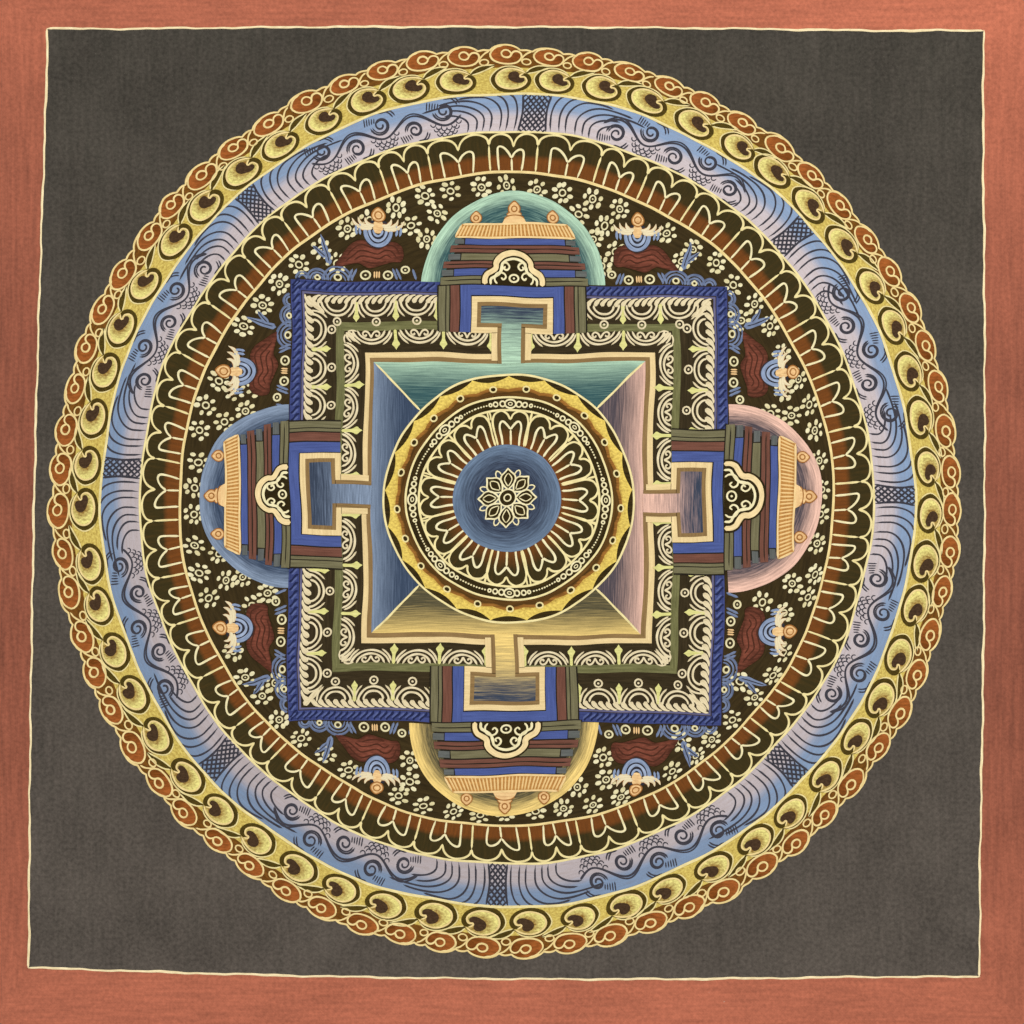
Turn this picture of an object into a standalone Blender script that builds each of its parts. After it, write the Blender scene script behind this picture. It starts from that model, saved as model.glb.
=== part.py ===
"""A painted mandala canvas: one sheet of primed cotton lying face up, unmounted and without rods.

Units are metres and +Z is up. The origin is on the surface that the sheet rests on, under the middle
of its outline. The painting's top edge is towards +Y and its painted face looks up, along +Z.
The sheet has been kept rolled, so it lies flat over its middle and its rim rises a little here and there.
"""

import bpy
import numpy as np

# Driving dimensions.
SHEET_WIDTH = 0.430
SHEET_HEIGHT = 0.430
SHEET_THICKNESS = 0.0012
GRID_CELLS = 44

# How each side was cut by hand, as metres inwards from the nominal line. "skew" is the difference between
# the two ends, "hollow" the depth at the middle, and "wander" a slow wave along the side.
CUT_COLUMNS = ("side", "skew", "hollow", "wander", "waves", "phase")
CUT_SIDES = (
    ("left", 0.0016, 0.0008, 0.0004, 2.3, 0.4),
    ("right", -0.0010, 0.0006, 0.0005, 1.7, 2.1),
    ("bottom", 0.0012, 0.0009, 0.0004, 2.1, 1.3),
    ("top", -0.0014, 0.0007, 0.0005, 1.9, 3.0),
)

# Places on the rim where the sheet stands off the surface. "across" and "along" run from -1 to 1 over the
# sheet, "rise" is the height there, and "reach" the distance at which it has died away. The mandala
# itself stays clear of these reaches, on the flat middle.
RISE_COLUMNS = ("across", "along", "rise", "reach")
RIM_RISES = (
    (-1.00, 1.00, 0.0030, 0.070),
    (1.00, 1.00, 0.0042, 0.085),
    (1.00, -1.00, 0.0050, 0.090),
    (-1.00, -1.00, 0.0024, 0.060),
    (-0.35, 1.00, 0.0010, 0.028),
    (0.30, -1.00, 0.0013, 0.030),
    (-1.00, 0.15, 0.0012, 0.030),
    (1.00, 0.05, 0.0008, 0.028),
)

CANVAS_COLOUR = (0.40, 0.105, 0.060, 1.0)
CANVAS_ROUGHNESS = 0.85

COLLECTION_NAME = "painted_mandala_canvas"
SHEET_NAME = "painted_canvas"


def clear_scene():
    for thing in list(bpy.data.objects):
        bpy.data.objects.remove(thing, do_unlink=True)


def side_inset(name, t):
    """How far inwards one side was cut, at t from -1 to 1 along it: a slant, a hollow and a slow wave."""
    row = next(dict(zip(CUT_COLUMNS, cut)) for cut in CUT_SIDES if cut[0] == name)
    slant = abs(row["skew"]) * (1 + np.sign(row["skew"]) * t) / 2
    wave = row["wander"] * (1 + np.sin(row["waves"] * t + row["phase"])) / 2
    return slant + row["hollow"] * (1 - t * t) + wave


def sheet_plan(across, along):
    """Where a point of the sheet lies in plan: even steps between the two cut sides, both ways."""
    half_width, half_height = SHEET_WIDTH / 2, SHEET_HEIGHT / 2
    left = side_inset("left", along) - half_width
    right = half_width - side_inset("right", along)
    bottom = side_inset("bottom", across) - half_height
    top = half_height - side_inset("top", across)
    x = left + (right - left) * (across + 1) / 2
    y = bottom + (top - bottom) * (along + 1) / 2
    return x - (x.max() + x.min()) / 2, y - (y.max() + y.min()) / 2


def rim_rise(x, y):
    """The height of the sheet's underside over a place: soft rises on the rim, each zero beyond its reach."""
    height = np.zeros_like(x)
    for row in RIM_RISES:
        rise = dict(zip(RISE_COLUMNS, row))
        away_x = x - rise["across"] * SHEET_WIDTH / 2
        away_y = y - rise["along"] * SHEET_HEIGHT / 2
        nearness = np.clip(1 - (away_x**2 + away_y**2) / rise["reach"] ** 2, 0, 1)
        height += rise["rise"] * nearness**2
    return height


def paint_material():
    material = bpy.data.materials.new("painted_cotton")
    material.use_nodes = True
    shader = material.node_tree.nodes["Principled BSDF"]
    shader.inputs["Base Color"].default_value = CANVAS_COLOUR
    shader.inputs["Roughness"].default_value = CANVAS_ROUGHNESS
    shader.inputs["Metallic"].default_value = 0.0
    material.diffuse_color = CANVAS_COLOUR
    return material


def make_sheet(collection):
    """The underside as a grid moved to its plan and height, thickened upwards."""
    bpy.ops.mesh.primitive_grid_add(x_subdivisions=GRID_CELLS, y_subdivisions=GRID_CELLS, size=2)
    sheet = bpy.context.object
    sheet.name = SHEET_NAME
    sheet.data.name = SHEET_NAME
    points = np.empty(len(sheet.data.vertices) * 3)
    sheet.data.vertices.foreach_get("co", points)
    points = points.reshape(-1, 3)
    across, along = points[:, 0].copy(), points[:, 1].copy()
    points[:, 0], points[:, 1] = sheet_plan(across, along)
    points[:, 2] = rim_rise(points[:, 0], points[:, 1])
    sheet.data.vertices.foreach_set("co", points.ravel())
    sheet.data.update()
    sheet.data.shade_smooth()

    thicken = sheet.modifiers.new("thickness", "SOLIDIFY")
    thicken.thickness = SHEET_THICKNESS
    thicken.offset = 1
    thicken.use_even_offset = True

    sheet.data.materials.append(paint_material())
    for old in list(sheet.users_collection):
        old.objects.unlink(sheet)
    collection.objects.link(sheet)
    return sheet


def main():
    clear_scene()
    collection = bpy.data.collections.new(COLLECTION_NAME)
    bpy.context.scene.collection.children.link(collection)
    make_sheet(collection)


main()
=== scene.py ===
"""The painted face of a mandala canvas, laid coat by coat on its cotton sheet, and a plain studio around it.

Plan sizes are millimetres on the sheet, x to the painting's right and y to its top, and become metres when a
mesh is made. Everything inside the frame line is measured from the mandala's middle, and angles run clockwise
from its top. Sides are numbered clockwise too: top, right, bottom, left.
"""

import bpy
import numpy as np
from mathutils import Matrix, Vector


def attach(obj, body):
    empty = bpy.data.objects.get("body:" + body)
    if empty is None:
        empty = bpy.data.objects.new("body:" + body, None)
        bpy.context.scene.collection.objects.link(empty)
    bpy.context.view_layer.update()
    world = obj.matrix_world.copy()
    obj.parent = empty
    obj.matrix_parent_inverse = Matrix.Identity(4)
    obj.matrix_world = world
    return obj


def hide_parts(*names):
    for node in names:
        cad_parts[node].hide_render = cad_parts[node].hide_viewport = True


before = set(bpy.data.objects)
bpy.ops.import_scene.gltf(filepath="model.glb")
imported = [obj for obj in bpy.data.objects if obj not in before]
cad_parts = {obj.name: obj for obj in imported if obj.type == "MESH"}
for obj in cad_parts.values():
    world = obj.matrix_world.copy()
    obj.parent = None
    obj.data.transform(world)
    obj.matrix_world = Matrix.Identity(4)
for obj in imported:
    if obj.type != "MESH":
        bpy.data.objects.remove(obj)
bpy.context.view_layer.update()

MM = 0.001
FULL_TURN = 2 * np.pi
SIDES = range(4)
CANVAS_NODE, COTTON_SLOT = "painted_canvas", "painted_cotton"

# The sheet, as the solid has it, in metres. A cut side is given by its slant, its hollow, and the height,
# number and start of its slow waves. A rise of the rim is given by its place across and along the sheet, from
# -1 to 1, its height there and the distance at which it has died away.
SHEET_WIDTH, SHEET_HEIGHT, SHEET_THICKNESS = 0.430, 0.430, 0.0012
CUT_SIDES = {
    "left": (0.0016, 0.0008, 0.0004, 2.3, 0.4),
    "right": (-0.0010, 0.0006, 0.0005, 1.7, 2.1),
    "bottom": (0.0012, 0.0009, 0.0004, 2.1, 1.3),
    "top": (-0.0014, 0.0007, 0.0005, 1.9, 3.0),
}
RIM_RISES = (
    (-1.00, 1.00, 0.0030, 0.070),
    (1.00, 1.00, 0.0042, 0.085),
    (1.00, -1.00, 0.0050, 0.090),
    (-1.00, -1.00, 0.0024, 0.060),
    (-0.35, 1.00, 0.0010, 0.028),
    (0.30, -1.00, 0.0013, 0.030),
    (-1.00, 0.15, 0.0012, 0.030),
    (1.00, 0.05, 0.0008, 0.028),
)

# Paint. A level counts coats above the cotton, and a line's crown stands that far above the coat it lies on.
COAT = 0.045
LINE_CROWN, LOW_CROWN = 0.09, 0.03
FINE_LINE = 0.80
RING_STEPS = 361
WELD_STEPS, SPECK = 1e4, 1e-5  # steps to a millimetre that count as one place, and the least area of a cell
# How far each side's brush streaks are moved on from the last side's, and each coat's from the one below it,
# so that no two are alike.
BORDER_STREAKS, BAND_STREAKS, GATE_STREAKS, COAT_STREAKS = 57.0, 31.0, 17.0, 3.0
MIDDLE = (-1.6, 4.2)

# The rings weren't drawn about one middle: at a distance from it, how far a place lies to the right, up and
# outwards of where a compass would put it.
RING_DRIFTS = ((0, 0, 0, 0), (125, 0, 0, 0), (131, -0.8, 0.8, -0.4), (147, -0.6, 1.5, -0.6),
               (163, 0, 0.6, 0.4), (183, -1.0, 0, 0), (186, 0, 0, 0), (400, 0, 0, 0))

# Each paint's light and then its deep display colour, 0 to 255.
PAINTS = {
    "brick": (212, 122, 92, 134, 78, 60), "charcoal": (101, 91, 83, 56, 54, 46),
    "frame line": (255, 236, 190, 236, 206, 138), "cream": (250, 240, 196, 232, 208, 128),
    "pink cream": (250, 228, 164, 226, 186, 104), "yellow cream": (250, 234, 172, 226, 202, 130),
    "cloud red": (168, 94, 42, 114, 62, 16), "cloud brown": (138, 88, 32, 90, 56, 10),
    "flame ground": (236, 216, 118, 184, 148, 62), "flame yellow": (240, 228, 138, 150, 108, 46),
    "curl brown": (90, 73, 24, 58, 44, 6), "plum brown": (84, 62, 42, 56, 38, 22),
    "water": (144, 167, 198, 218, 202, 200), "navy": (74, 72, 80, 46, 44, 50),
    "petal dark": (86, 72, 44, 60, 50, 22), "petal red": (124, 70, 27, 86, 48, 12),
    "flower ground": (68, 54, 28, 46, 35, 13), "flower": (242, 232, 188, 208, 192, 128),
    "jade": (182, 214, 184, 58, 92, 94), "rose": (240, 194, 172, 84, 76, 82),
    "sand": (246, 212, 128, 86, 80, 58), "azure": (136, 152, 174, 60, 74, 96),
    "orange": (212, 156, 84, 164, 106, 50), "roof cream": (248, 214, 152, 236, 188, 116),
    "beam red": (134, 88, 72, 92, 56, 44), "beam blue": (88, 104, 164, 62, 74, 126),
    "beam olive": (134, 128, 96, 94, 88, 58), "beam grey": (112, 114, 108, 72, 76, 76),
    "beam dark": (54, 46, 34, 32, 28, 20), "rope": (72, 82, 138, 48, 56, 100),
    "rope dark": (40, 46, 86, 26, 32, 62), "rope light": (100, 112, 162, 70, 80, 128),
    "spear": (234, 230, 152, 210, 200, 112), "violet": (120, 116, 148, 82, 80, 110),
    "band dark": (66, 54, 34, 44, 35, 16), "olive": (128, 126, 82, 92, 90, 52),
    "leaf": (244, 230, 192, 216, 190, 136), "wall cream": (248, 222, 166, 222, 190, 128),
    "wall shade": (164, 132, 86, 118, 92, 54), "disc blue": (112, 132, 156, 54, 62, 80),
    "garland": (238, 208, 98, 190, 150, 58), "garland shade": (158, 106, 46, 74, 48, 14),
    "ring brown": (108, 74, 32, 74, 48, 14), "lens dark": (72, 56, 22, 42, 32, 8),
    "cloud base": (138, 76, 58, 78, 42, 28), "bowl blue": (170, 184, 208, 96, 116, 150),
    "slate": (126, 140, 168, 76, 86, 116), "peach": (250, 216, 156, 222, 160, 98),
    "way in": (60, 70, 88, 60, 70, 88), "cotton": (232, 224, 206, 204, 194, 172),
}

random = np.random.default_rng(20)


def uneven(spread, *shape):
    """Random steps up to the spread either way."""
    return spread * random.uniform(-1, 1, shape)


def linear(levels):
    """A display colour from 0 to 255 as the linear colour that a shader takes."""
    share = np.asarray(levels, float) / 255
    return np.where(share <= 0.04045, share / 12.92, ((share + 0.055) / 1.055) ** 2.4)


def eased(share):
    """A share held between 0 and 1 and smoothed at both ends: three squares less two cubes."""
    share = np.clip(share, 0, 1)
    return share * share * (3 - 2 * share)


def side_inset(name, t):
    """How far inwards one side was cut, at t from -1 to 1 along it: a slant, a hollow and a slow wave."""
    skew, hollow, wander, waves, phase = CUT_SIDES[name]
    slant = abs(skew) * (1 + np.sign(skew) * t) / 2
    return slant + hollow * (1 - t * t) + wander * (1 + np.sin(waves * t + phase)) / 2


def sheet_plan(across, along):
    """Where a point of the sheet lies in plan: even steps between the two cut sides, both ways."""
    half_width, half_height = SHEET_WIDTH / 2, SHEET_HEIGHT / 2
    left, right = side_inset("left", along) - half_width, half_width - side_inset("right", along)
    bottom, top = side_inset("bottom", across) - half_height, half_height - side_inset("top", across)
    x = left + (right - left) * (across + 1) / 2
    y = bottom + (top - bottom) * (along + 1) / 2
    return x - (x.max() + x.min()) / 2, y - (y.max() + y.min()) / 2


def rim_rise(x, y):
    """The height of the sheet's underside over a place: soft rises on the rim, each zero beyond its reach."""
    height = np.zeros_like(x)
    for across, along, rise, reach in RIM_RISES:
        away_x, away_y = x - across * SHEET_WIDTH / 2, y - along * SHEET_HEIGHT / 2
        height += rise * np.clip(1 - (away_x**2 + away_y**2) / reach**2, 0, 1) ** 2
    return height


def hand(places):
    """The unsteadiness of a free hand: each place slides by a few slow sine waves of its own coordinates,
    after the drift of the ring that it lies on, which changes evenly from one listed distance to the
    next."""
    reach = np.linalg.norm(places, axis=-1)
    listed, *drifts = np.transpose(RING_DRIFTS)
    right, up, out = (np.interp(reach, listed, drift) for drift in drifts)
    places = places * (1 + out / np.maximum(reach, 1.0))[..., None] + xy(right, up)
    x, y = places[..., 0], places[..., 1]
    slide_x = 0.42 * np.sin(x / 21 + y / 13 + 0.7) + 0.20 * np.sin(y / 6.1 - x / 9.3)
    slide_y = 0.42 * np.sin(y / 19 - x / 15 + 2.1) + 0.20 * np.sin(x / 5.7 + y / 8.9)
    tremble = xy(np.sin(x / 2.9 + y / 3.7), np.sin(y / 3.1 - x / 3.3))
    return places + xy(slide_x, slide_y) + 0.08 * tremble


# ---- Lines and patches -------------------------------------------------------------------------------------


def xy(x, y):
    """Places from their two coordinates."""
    return np.stack(np.broadcast_arrays(x, y), -1).astype(float)


def polar(reach, angle):
    """Places at a distance and an angle from the middle."""
    return xy(reach * np.sin(angle), reach * np.cos(angle))


def on_ring(places, angle, radius):
    """Bends a flat pattern round a ring: x becomes an arc clockwise from the angle, y a step outwards."""
    places = np.asarray(places, float)
    return polar(radius + places[..., 1], angle + places[..., 0] / radius)


def turned(places, angle):
    """Turns places clockwise about the middle."""
    x, y = np.moveaxis(np.asarray(places, float), -1, 0)
    return xy(x * np.cos(angle) + y * np.sin(angle), y * np.cos(angle) - x * np.sin(angle))


def on_side(places, side):
    """Turns a pattern drawn for the top side, x clockwise along it and y outwards, to another side."""
    return turned(places, side * FULL_TURN / 4)


def ring_line(radius, steps=RING_STEPS):
    """A whole circle about the middle."""
    return polar(radius, np.linspace(0, FULL_TURN, steps))


def mirrored(line):
    """A pattern and its reflection left for right, as one array."""
    return np.stack([line, line * (-1, 1)])


def blend(first, second, share):
    """The places at a share of the way from one set to another."""
    return first * (1 - share) + second * share


def curve(points, steps, closed=False):
    """A smooth line through the points: each stretch is the cubic that leaves and arrives along the
    directions of the points on either side (Catmull-Rom)."""
    points = np.asarray(points, float)
    spans = len(points) - (0 if closed else 1)
    before, after = 2 * points[0] - points[1], 2 * points[-1] - points[-2]
    around = (points[-1:], points[:2]) if closed else (before[None], after[None])
    padded = np.concatenate([around[0], points, around[1]])
    t = np.linspace(0, spans, steps)
    first = np.minimum(t.astype(int), spans - 1)
    f = (t - first)[:, None]
    a, b, c, d = (padded[first + k] for k in range(4))
    return 0.5 * (2 * b + (c - a) * f + (2 * a - 5 * b + 4 * c - d) * f**2 + (3 * b - a - 3 * c + d) * f**3)


def oval(middle, half_wide, half_high, steps=14, lean=0.0, start=0.0, turn=FULL_TURN):
    """An ellipse, or part of one: the middle plus its half axes times the cosine and sine of an even
    angle."""
    lean = np.asarray(lean, float)[..., None]
    angle = start + np.linspace(0, turn, steps)
    wide = np.asarray(half_wide, float)[..., None] * np.cos(angle)
    high = np.asarray(half_high, float)[..., None] * np.sin(angle)
    return np.asarray(middle, float)[..., None, :] + xy(wide * np.cos(lean) - high * np.sin(lean),
                                                        wide * np.sin(lean) + high * np.cos(lean))


def between(first, second, steps=1):
    """A grid that fills the ground between two lines in even steps from one to the other."""
    first, second = np.asarray(first, float), np.asarray(second, float)
    return blend(first[..., None, :], second[..., None, :], np.linspace(0, 1, steps + 1)[:, None])


def patch(grid, level, paint, depth=0.5, brush=None, rise=0.0, second=None):
    """One patch of paint: its grid of places, the coat it lies at, its paint, how deep the colour is, the
    direction of the brush, and how far it stands proud. A second paint may end the range of colour."""
    grid = np.asarray(grid, float)
    light, deep = linear(PAINTS[paint][:3]), linear(PAINTS[second or paint][3:])
    return dict(grid=grid, level=level, light=light, deep=deep, depth=depth, rise=rise,
                brush=grid if brush is None else brush)


def blot(outline, level, paint, depth=0.5, dome=0.0, steps=1):
    """A filled shape: rings of its outline shrunk evenly to the outline's mean point, domed as a drop of
    paint."""
    outline = np.asarray(outline, float)
    if np.abs(outline[..., 0, :] - outline[..., -1, :]).max() > 1e-6:
        outline = np.concatenate([outline, outline[..., :1, :]], -2)
    centre = outline[..., :-1, :].mean(-2, keepdims=True)
    steps = 2 if dome else steps
    grid = between(np.broadcast_to(centre, outline.shape), outline, steps)
    return patch(grid, level, paint, depth, rise=dome * (1 - np.linspace(0, 1, steps + 1) ** 2))


def leftwards(path, closed=False):
    """The unit steps to the left of a path, from the slope between each point's neighbours."""
    step = np.gradient(path, axis=-2)
    if closed:
        step[..., (0, -1), :] = path[..., 1:2, :] - path[..., -2:-1, :]
    step /= np.maximum(np.linalg.norm(step, axis=-1, keepdims=True), 1e-9)
    return xy(-step[..., 1], step[..., 0])


def stroke(path, width, level, paint="cream", depth=0.25, ends=(0.5, 0.5), closed=False, crown=LINE_CROWN):
    """A brush line: left edge, raised middle and right edge carried along a path. Its width swells a little
    on the way, by a sine wave, and rounds off as a quarter circle over each end's length."""
    path = np.asarray(path, float)
    side = leftwards(path, closed)
    run = np.linalg.norm(np.diff(path, axis=-2), axis=-1)
    run = np.concatenate([np.zeros_like(run[..., :1]), np.cumsum(run, -1)], -1)
    half = np.asarray(width) / 2
    if not closed:
        start, stop = (np.sqrt(1 - (1 - np.clip(gone / end, 0, 1)) ** 2)
                       for gone, end in zip((run, run[..., -1:] - run), ends))
        swell = 1 + 0.10 * np.sin(run * FULL_TURN / np.maximum(run[..., -1:], 1) * 2 + path[..., :1, 0])
        half = half * (start * stop) * swell
    half = np.broadcast_to(half, run.shape)[..., None]
    grid = np.stack([path + side * half, path, path - side * half], -2)
    offset = half * (1, 0, -1)
    proud = crown * np.minimum(1, half / (FINE_LINE / 2)) * (0, 1, 0)
    return patch(grid, level, paint, depth, xy(run[..., None], offset), proud)


def grid_faces(rows, columns):
    """The four corners of every cell of a grid whose points are numbered row by row."""
    index = np.arange(rows * columns).reshape(rows, columns)
    return np.stack([index[:-1, :-1], index[:-1, 1:], index[1:, 1:], index[1:, :-1]], -1).reshape(-1, 4)


def new_object(name, points, faces, finish):
    """An object at the origin with one smooth mesh."""
    mesh = bpy.data.meshes.new(name)
    mesh.from_pydata(points.tolist(), [], faces)
    mesh.materials.append(finish)
    made = bpy.data.objects.new(name, mesh)
    bpy.context.scene.collection.objects.link(made)
    return made


def seat(piece):
    """Checks and smooths a finished mesh and joins its object to the canvas."""
    piece.data.validate()
    piece.data.update()
    piece.data.shade_smooth()
    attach(piece, "root")


def lay(name, patches, finish, in_mandala=True):
    """Makes one mesh of many patches, placed from the mandala's middle by a free hand, or else from the
    sheet's middle as they are. Corners of a patch that fall together are welded, so a pole or a seam
    closes, every face is turned to look up, and each point takes the height of the sheet below it."""
    gathered = {key: [] for key in ("grid", "brush", "height", "depth", "light", "deep", "owner", "corner")}
    count = owner = 0
    for one in patches:
        grid = one["grid"]
        rows, columns = grid.shape[-3:-1]
        copies = int(np.prod(grid.shape[:-3], dtype=int))
        size = copies * rows * columns
        starts = count + np.arange(copies)[:, None, None] * rows * columns
        height = one["level"] * COAT + np.asarray(one["rise"])
        for key, value in (("grid", grid.reshape(-1, 2)),
                           ("brush", np.broadcast_to(one["brush"], grid.shape).reshape(-1, 2)),
                           ("height", np.broadcast_to(height, grid.shape[:-1]).ravel()),
                           ("depth", np.broadcast_to(one["depth"], grid.shape[:-1]).ravel()),
                           ("light", np.broadcast_to(one["light"], (size, 3))),
                           ("deep", np.broadcast_to(one["deep"], (size, 3))),
                           ("owner", owner + np.repeat(np.arange(copies), rows * columns)),
                           ("corner", (starts + grid_faces(rows, columns)).reshape(-1, 4))):
            gathered[key].append(value)
        count, owner = count + size, owner + copies
    every = {key: np.concatenate(values) for key, values in gathered.items()}
    places = hand(every["grid"]) + MIDDLE if in_mandala else every["grid"]

    key = np.column_stack([every["owner"], np.round(places * WELD_STEPS).astype(np.int64)])
    _, kept, weld = np.unique(key, axis=0, return_index=True, return_inverse=True)
    weld, corners = weld.ravel(), every["corner"]
    x, y = places[corners, 0], places[corners, 1]
    area = (x * np.roll(y, -1, 1) - y * np.roll(x, -1, 1)).sum(1) / 2
    corners = np.where(area[:, None] < 0, corners[:, ::-1], corners)
    twin = weld[corners] == np.roll(weld[corners], -1, 1)
    broad = np.abs(area) > SPECK
    whole = corners[(twin.sum(1) == 0) & broad]
    slim = (twin.sum(1) == 1) & broad
    thirds = corners[slim][~twin[slim]].reshape(-1, 3)

    spots = places[kept] * MM
    height = rim_rise(*spots.T) + SHEET_THICKNESS + every["height"][kept] * MM
    faces = weld[whole].tolist() + weld[thirds].tolist()
    piece = new_object(name, np.column_stack([spots, height]), faces, finish)
    mesh = piece.data
    loops = np.concatenate([whole.ravel(), thirds.ravel()])
    flat = places[loops] * MM / (SHEET_WIDTH, SHEET_HEIGHT) + 0.5
    for label, spread in (("brush", every["brush"][loops]), ("OFBake", flat)):
        mesh.uv_layers.new(name=label).data.foreach_set("uv", spread.ravel())
    for label in ("light", "deep"):
        colours = np.column_stack([every[label][kept], np.ones(len(kept))])
        mesh.attributes.new(label, "FLOAT_COLOR", "POINT").data.foreach_set("color", colours.ravel())
    mesh.attributes.new("depth", "FLOAT", "POINT").data.foreach_set("value", every["depth"][kept])
    seat(piece)


# ---- Finishes ----------------------------------------------------------------------------------------------

THREAD = 0.00062  # the cotton's threads, centre to centre, in metres
# Noise lumps to a metre: what bends the threads, slow changes, chalk flecks, and the cotton's stains and
# slubs.
BEND_LUMPS, SLOW_LUMPS, CHALK_LUMPS, STAIN_LUMPS, SLUB_LUMPS = 260.0, 38.0, 2300.0, 22.0, 900.0
CHALK, SLUB_SHADE = (0.20, 0.18, 0.14), (0.62, 0.58, 0.50)
PAINT_ROUGH, PAINT_STREAK_ROUGH = 0.90, -0.18
PAINT_RELIEF, COTTON_RELIEF = (0.55, 0.00012), (0.7, 0.00015)  # a bump's strength, and its depth in metres


def add_node(material, kind, inputs, **settings):
    """Adds a node: its settings first, then each input as a link from a socket, a colour or a number."""
    made = material.node_tree.nodes.new(kind)
    for name, value in settings.items():
        setattr(made, name, value)
    feed(material, made.inputs, inputs)
    return made


def feed(material, sockets, inputs):
    """Gives each named or numbered socket its value."""
    for name, value in inputs.items():
        if isinstance(value, bpy.types.NodeSocket):
            material.node_tree.links.new(value, sockets[name])
        else:
            sockets[name].default_value = (*value, 1.0) if np.size(value) == 3 else value


def sums(material, operation, first, second, third=0.0, clamp=False):
    """One step of arithmetic on numbers or sockets."""
    inputs = {0: first, 1: second, 2: third}
    return add_node(material, "ShaderNodeMath", inputs, operation=operation, use_clamp=clamp).outputs[0]


def noise(material, where, scale, detail=2.0, rough=0.55):
    """Soft noise from 0 to 1 at the given number of lumps to a unit."""
    inputs = {"Vector": where, "Scale": scale, "Detail": detail, "Roughness": rough}
    return add_node(material, "ShaderNodeTexNoise", inputs).outputs["Fac"]


def mixed(material, share, first, second, kind="MIX"):
    """A colour between two, by a share that may vary over the surface."""
    inputs = {0: share, 6: first, 7: second}
    return add_node(material, "ShaderNodeMix", inputs, data_type="RGBA", blend_type=kind).outputs[2]


def woven(material, where):
    """Plain weave as a height: the product of two sine waves, one across each set of threads, which a slow
    noise bends, so that every second crossing stands up."""
    bend = sums(material, "MULTIPLY", noise(material, where, BEND_LUMPS), 2.4)
    parts = add_node(material, "ShaderNodeSeparateXYZ", {0: where}).outputs
    phases = [sums(material, "MULTIPLY_ADD", parts[axis], np.pi / THREAD, bend) for axis in range(2)]
    return sums(material, "MULTIPLY", *(sums(material, "SINE", phase, 0.0) for phase in phases))


def new_finish(name):
    """A material, its shader's sockets, and the place on the object, in metres."""
    material = bpy.data.materials.new(name)
    material.use_nodes = True
    where = add_node(material, "ShaderNodeTexCoord", {}).outputs["Object"]
    return material, material.node_tree.nodes["Principled BSDF"].inputs, where


def relief(material, height, strength, distance):
    """A height pattern as the bump that the shader's Normal takes."""
    inputs = {"Strength": strength, "Distance": distance, "Height": height}
    return add_node(material, "ShaderNodeBump", inputs).outputs["Normal"]


def paint_finish(name, streak, along=0.10, across=1.5, grain=0.35, weave=0.5, body=0.35, gloss=0.10,
                 flecks=0.0, comb=0.35, grit=1700.0):
    """Matt water-bound paint on cotton. Its colour runs from the patch's light to its deep by the patch's
    depth and by streaks stretched along the brush, which also darken it by the share comb. A fine grain
    darkens it a little more, pale flecks of chalk may show, the threads and the paint's own body raise it,
    and the thicker streaks are less rough."""
    material, shader, where = new_finish(name)
    brushed = add_node(material, "ShaderNodeUVMap", {}, uv_map="brush").outputs["UV"]
    spread = add_node(material, "ShaderNodeMapping", {"Vector": brushed})
    spread.inputs["Scale"].default_value = (along, across, 1.0)
    painted = {label: add_node(material, "ShaderNodeAttribute", {}, attribute_name=label).outputs
               for label in ("depth", "light", "deep")}

    streaks = noise(material, spread.outputs["Vector"], 1.0, 4.0, 0.62)
    depth = sums(material, "MULTIPLY_ADD", streaks, streak * 2, painted["depth"]["Fac"])
    depth = sums(material, "SUBTRACT", depth, streak, clamp=True)
    colour = mixed(material, depth, painted["light"]["Color"], painted["deep"]["Color"])
    fine = noise(material, where, grit, 3.0, 0.6)
    grains = sums(material, "MULTIPLY_ADD", noise(material, where, SLOW_LUMPS), 0.5, fine)
    shade = sums(material, "MULTIPLY_ADD", grains, -grain, 1 + 0.75 * grain + comb)
    shade = sums(material, "MULTIPLY_ADD", streaks, -2 * comb, shade)
    colour = mixed(material, 1.0, colour, shade, "MULTIPLY")
    if flecks:
        spots = sums(material, "SUBTRACT", noise(material, where, CHALK_LUMPS, 0.0), 1 - flecks, clamp=True)
        colour = mixed(material, sums(material, "MULTIPLY", spots, 3.0, clamp=True), colour, CHALK)

    threads = sums(material, "MULTIPLY", woven(material, where), weave * 0.5)
    height = sums(material, "MULTIPLY_ADD", streaks, body, threads)
    height = sums(material, "MULTIPLY_ADD", fine, body * 0.6, height)
    feed(material, shader, {
        "Base Color": colour,
        "Roughness": sums(material, "MULTIPLY_ADD", streaks, PAINT_STREAK_ROUGH, PAINT_ROUGH),
        "Specular IOR Level": gloss,
        "Normal": relief(material, height, *PAINT_RELIEF)})
    return material


def cotton_finish():
    """Primed cotton seen from the back: warm off-white threads with painted shade between them, and slubs and
    stains."""
    material, shader, where = new_finish("primed_cotton")
    threads = woven(material, where)
    stains, slubs = noise(material, where, STAIN_LUMPS, 4.0), noise(material, where, SLUB_LUMPS)
    stained = sums(material, "MULTIPLY", stains, 0.9)
    # Painted shade: the colour deepens where the weave sinks between the threads.
    share = sums(material, "MULTIPLY_ADD", threads, -0.22, stained, clamp=True)
    colour = mixed(material, share, linear(PAINTS["cotton"][:3]), linear(PAINTS["cotton"][3:]))
    colour = mixed(material, sums(material, "MULTIPLY", slubs, 0.35), colour, SLUB_SHADE, "MULTIPLY")
    height = sums(material, "MULTIPLY_ADD", slubs, 0.5, threads)
    feed(material, shader, {
        "Base Color": colour,
        "Roughness": sums(material, "MULTIPLY_ADD", slubs, 0.12, 0.80),
        "Specular IOR Level": 0.2, "Sheen Weight": 0.12, "Sheen Roughness": 0.6,
        "Normal": relief(material, height, *COTTON_RELIEF)})
    return material


# ---- The sheet, its border and its ground ------------------------------------------------------------------

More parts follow.
